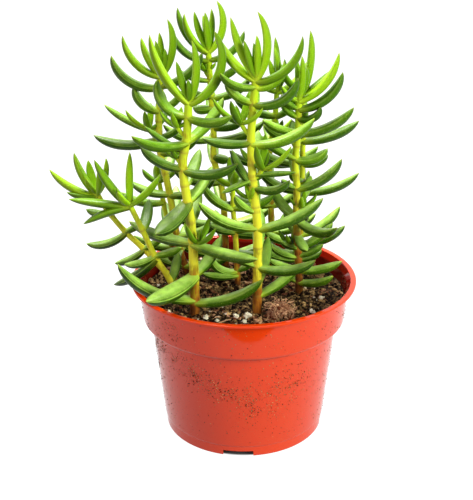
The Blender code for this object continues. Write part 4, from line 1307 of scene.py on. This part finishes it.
def tuft_height(x, y):
    """The bed's height with the heap of the tuft on it."""
    return bed_height(x, y) + TUFT_HEAP * max(0.0, 1 - 1.5 * from_tuft(x, y) ** 2)


def tuft_weight(x, y):
    """Thick in the middle of the tuft, none outside it."""
    return max(0.0, 1.0 - from_tuft(x, y))


heap = carrier("coir_crumbs", tuft_height, tuft_weight, rings=90, steps=180)
hand_over(strewn(heap, 1.2e6, 0.3, 1.5, 2.0, (1.3, 1.0, 0.8), 1, 0.8, 17, "coir"), "soil", "soil")

# %% [markdown]
# Specks of soil cling to the outside of the pot in a few drifts, as after watering: a slanting
# drift down the front left, one at the lower front right, and a thin sprinkle all round. A drift
# is given by its place, as millimetres round the wall from the front and the height, and by how
# far it reaches sideways and upwards.

# %% Specks on the pot's wall
DRIFTS = ((-46, 51, 6, 5), (-36, 47, 7, 4), (-27, 43, 8, 4), (-25, 43, 4, 2), (-17, 39, 9, 5), (-8, 34, 7, 4),
          (2, 31, 5, 7), (12, 29, 9, 7), (-38, 63, 8, 4), (22, 38, 10, 8), (-55, 45, 6, 10))
SPRINKLE = 0.05
SPECK_GAP = 0.03
SPECK_PATCH = 3.5
HEIGHTS = np.concatenate([np.linspace(7, 53, 47), np.linspace(56.5, 72, 16)])
WALL_STEPS = 240


def speck_weight(x, y, z):
    """Density of specks at a point of the wall."""
    arc = math.atan2(x, -y) * math.hypot(x, y)
    drift = sum(math.exp(-((arc - u) / a) ** 2 - ((z - v) / b) ** 2) for u, v, a, b in DRIFTS)
    return SPRINKLE + drift * max(0.0, 0.5 + 1.3 * noise.noise(Vector((x, y, z)) / SPECK_PATCH))


points = [(x, y, z) for z in HEIGHTS for x, y in ring(pot_radius(z) + SPECK_GAP, WALL_STEPS)]
faces = [(a, d, c, b) for a, b, c, d in ring_quads(len(HEIGHTS), WALL_STEPS)]
specks = new_object("pot_specks", points, faces=faces)
mark(specks.data, "density", [speck_weight(*point) for point in points])
hand_over(strewn(specks, 4.0e6, 0.07, 0.28, 4.0, (1, 1, 1), 1, 0.5, 29, "peat soil"), "soil")

# %% [markdown]
# ## The studio
#
# The plant stands on a white sheet in a white surround. The sheet shines evenly instead of taking
# shadows, apart from the spot under the pot, which is left dark as a painted shadow.

# %% Paper, backdrop and card finishes
UNDER_POT, SHEET_FROM = 36.2 * MM, 37.8 * MM
SHEET_GLOW = 1.04
white, tree = new_material("white paper")
place = add(tree, "ShaderNodeTexCoord").outputs["Object"]
away = add(tree, "ShaderNodeVectorMath", {0: place}, operation="LENGTH")
# painted shadow: the sheet does not glow under the pot
beside = add(tree, "ShaderNodeMapRange", {"Value": away, "From Min": UNDER_POT, "From Max": SHEET_FROM},
             interpolation_type="SMOOTHSTEP")
glow = add(tree, "ShaderNodeMath", {0: beside, 1: SHEET_GLOW}, operation="MULTIPLY")
surface = add(tree, "ShaderNodeBsdfPrincipled", {
    "Base Color": (0.08, 0.08, 0.085, 1.0), "Roughness": 0.9, "Specular IOR Level": 0.1,
    "Emission Color": (1.0, 1.0, 1.0, 1.0), "Emission Strength": glow})
add(tree, "ShaderNodeOutputMaterial", {"Surface": surface})
plain = {}
for label, values in (
        ("lit white backdrop", {"Emission Color": (1.0, 1.0, 1.0, 1.0), "Emission Strength": 1.0}),
        ("black card", {"Base Color": linear("#1A1614")})):
    plain[label], tree = new_material(label)
    surface = add(tree, "ShaderNodeBsdfPrincipled", values)
    add(tree, "ShaderNodeOutputMaterial", {"Surface": surface})
print("stage finishes:", white.name, "and", *plain)

# %% [markdown]
# A dark card lies on the sheet a little before the pot, out of the camera's sight. The gloss of
# the collar shows it as a deeper patch with a curved edge. Its far edge runs aslant, nearer to
# the pot on the right.

# %% Sheet, surround and card
SHEET_HALF = 2500
SURROUND_R = 2400
CARD_HALF, CARD_NEAR = 1500, -2000
CARD_FAR_LEFT, CARD_FAR_RIGHT = -259, 4
CARD_LIFT = 1
corners = [(x * SHEET_HALF, y * SHEET_HALF, 0) for x, y in ((-1, -1), (1, -1), (1, 1), (-1, 1))]
sheet = new_object("sheet", corners, faces=[(0, 1, 2, 3)], material=white)
sheet.visible_diffuse = False
work = bmesh.new()
bmesh.ops.create_icosphere(work, subdivisions=4, radius=SURROUND_R)
backdrop = new_object("backdrop", [vert.co for vert in work.verts],
                      faces=[[vert.index for vert in face.verts] for face in work.faces],
                      material=plain["lit white backdrop"])
work.free()
backdrop.visible_diffuse = backdrop.visible_shadow = False
corners = [(-CARD_HALF, CARD_NEAR, CARD_LIFT), (CARD_HALF, CARD_NEAR, CARD_LIFT),
           (CARD_HALF, CARD_FAR_RIGHT, CARD_LIFT), (-CARD_HALF, CARD_FAR_LEFT, CARD_LIFT)]
card = new_object("card", corners, faces=[(0, 1, 2, 3)], material=plain["black card"])
card.visible_camera = card.visible_diffuse = card.visible_shadow = False
print("stage:", [obj.name for obj in (sheet, backdrop, card)])

# %% [markdown]
# The light is bright and soft: a large lamp at the front right, a rosier one at the front left,
# and one above and behind that catches the upper faces of the leaves. Only that one shows in
# glossy surfaces. Places and sizes of the lamps are in metres.

# %% World and lamps
SURROUND_STRENGTH = 0.08
world = bpy.data.worlds.new("white surround")
world.use_nodes = True
world.node_tree.nodes["Background"].inputs["Color"].default_value = (1.0, 1.0, 1.0, 1.0)
world.node_tree.nodes["Background"].inputs["Strength"].default_value = SURROUND_STRENGTH
bpy.context.scene.world = world

for name, spot, target, size, watts, colour in (
        ("lamp front right", (0.72, -0.45, 0.38), (0, 0, 0.1), 0.45, 12.5, (0.9, 1.0, 0.8)),
        ("lamp front left", (-0.55, -0.68, 0.4), (0, 0, 0.08), 0.6, 5.2, (1.0, 0.86, 0.88)),
        ("lamp above", (-0.1, 0.35, 0.95), (0, 0, 0.12), 0.5, 22.0, (1.0, 1.0, 0.98))):
    light = bpy.data.lights.new(name, "AREA")
    light.shape, light.size, light.energy, light.color = "SQUARE", size, watts, colour
    lamp = bpy.data.objects.new(name, light)
    lamp.location = spot
    lamp.rotation_euler = (Vector(target) - Vector(spot)).to_track_quat("-Z", "Y").to_euler()
    lamp.visible_glossy = name == "lamp above"
    bpy.context.scene.collection.objects.link(lamp)
    print(name, watts, "W")

# %% [markdown]
# ## The camera
#
# The camera's height, pitch and lens were fitted to the ellipses of the pot's rim, collar and
# foot, and its slight shift to the pot's place in the picture. The colours are shown as they are,
# without a film curve, because the reference has a plain white ground.

# %% Camera and colour
CAMERA_PITCH = 22.65
lens = bpy.data.cameras.new("camera")
lens.sensor_fit = "VERTICAL"
lens.sensor_height = 36.0
lens.lens = 75.74
lens.shift_x = -0.0148
lens.shift_y = -0.0096
camera = bpy.data.objects.new("camera", lens)
camera.location = (0.0, -0.45, 0.2778)
camera.rotation_euler = (math.radians(90 - CAMERA_PITCH), 0.0, 0.0)
bpy.context.scene.collection.objects.link(camera)
bpy.context.scene.camera = camera
bpy.context.scene.view_settings.view_transform = "Standard"
print(f"camera {camera.location.z / MM:.0f} mm up, looking down by {CAMERA_PITCH} degrees")
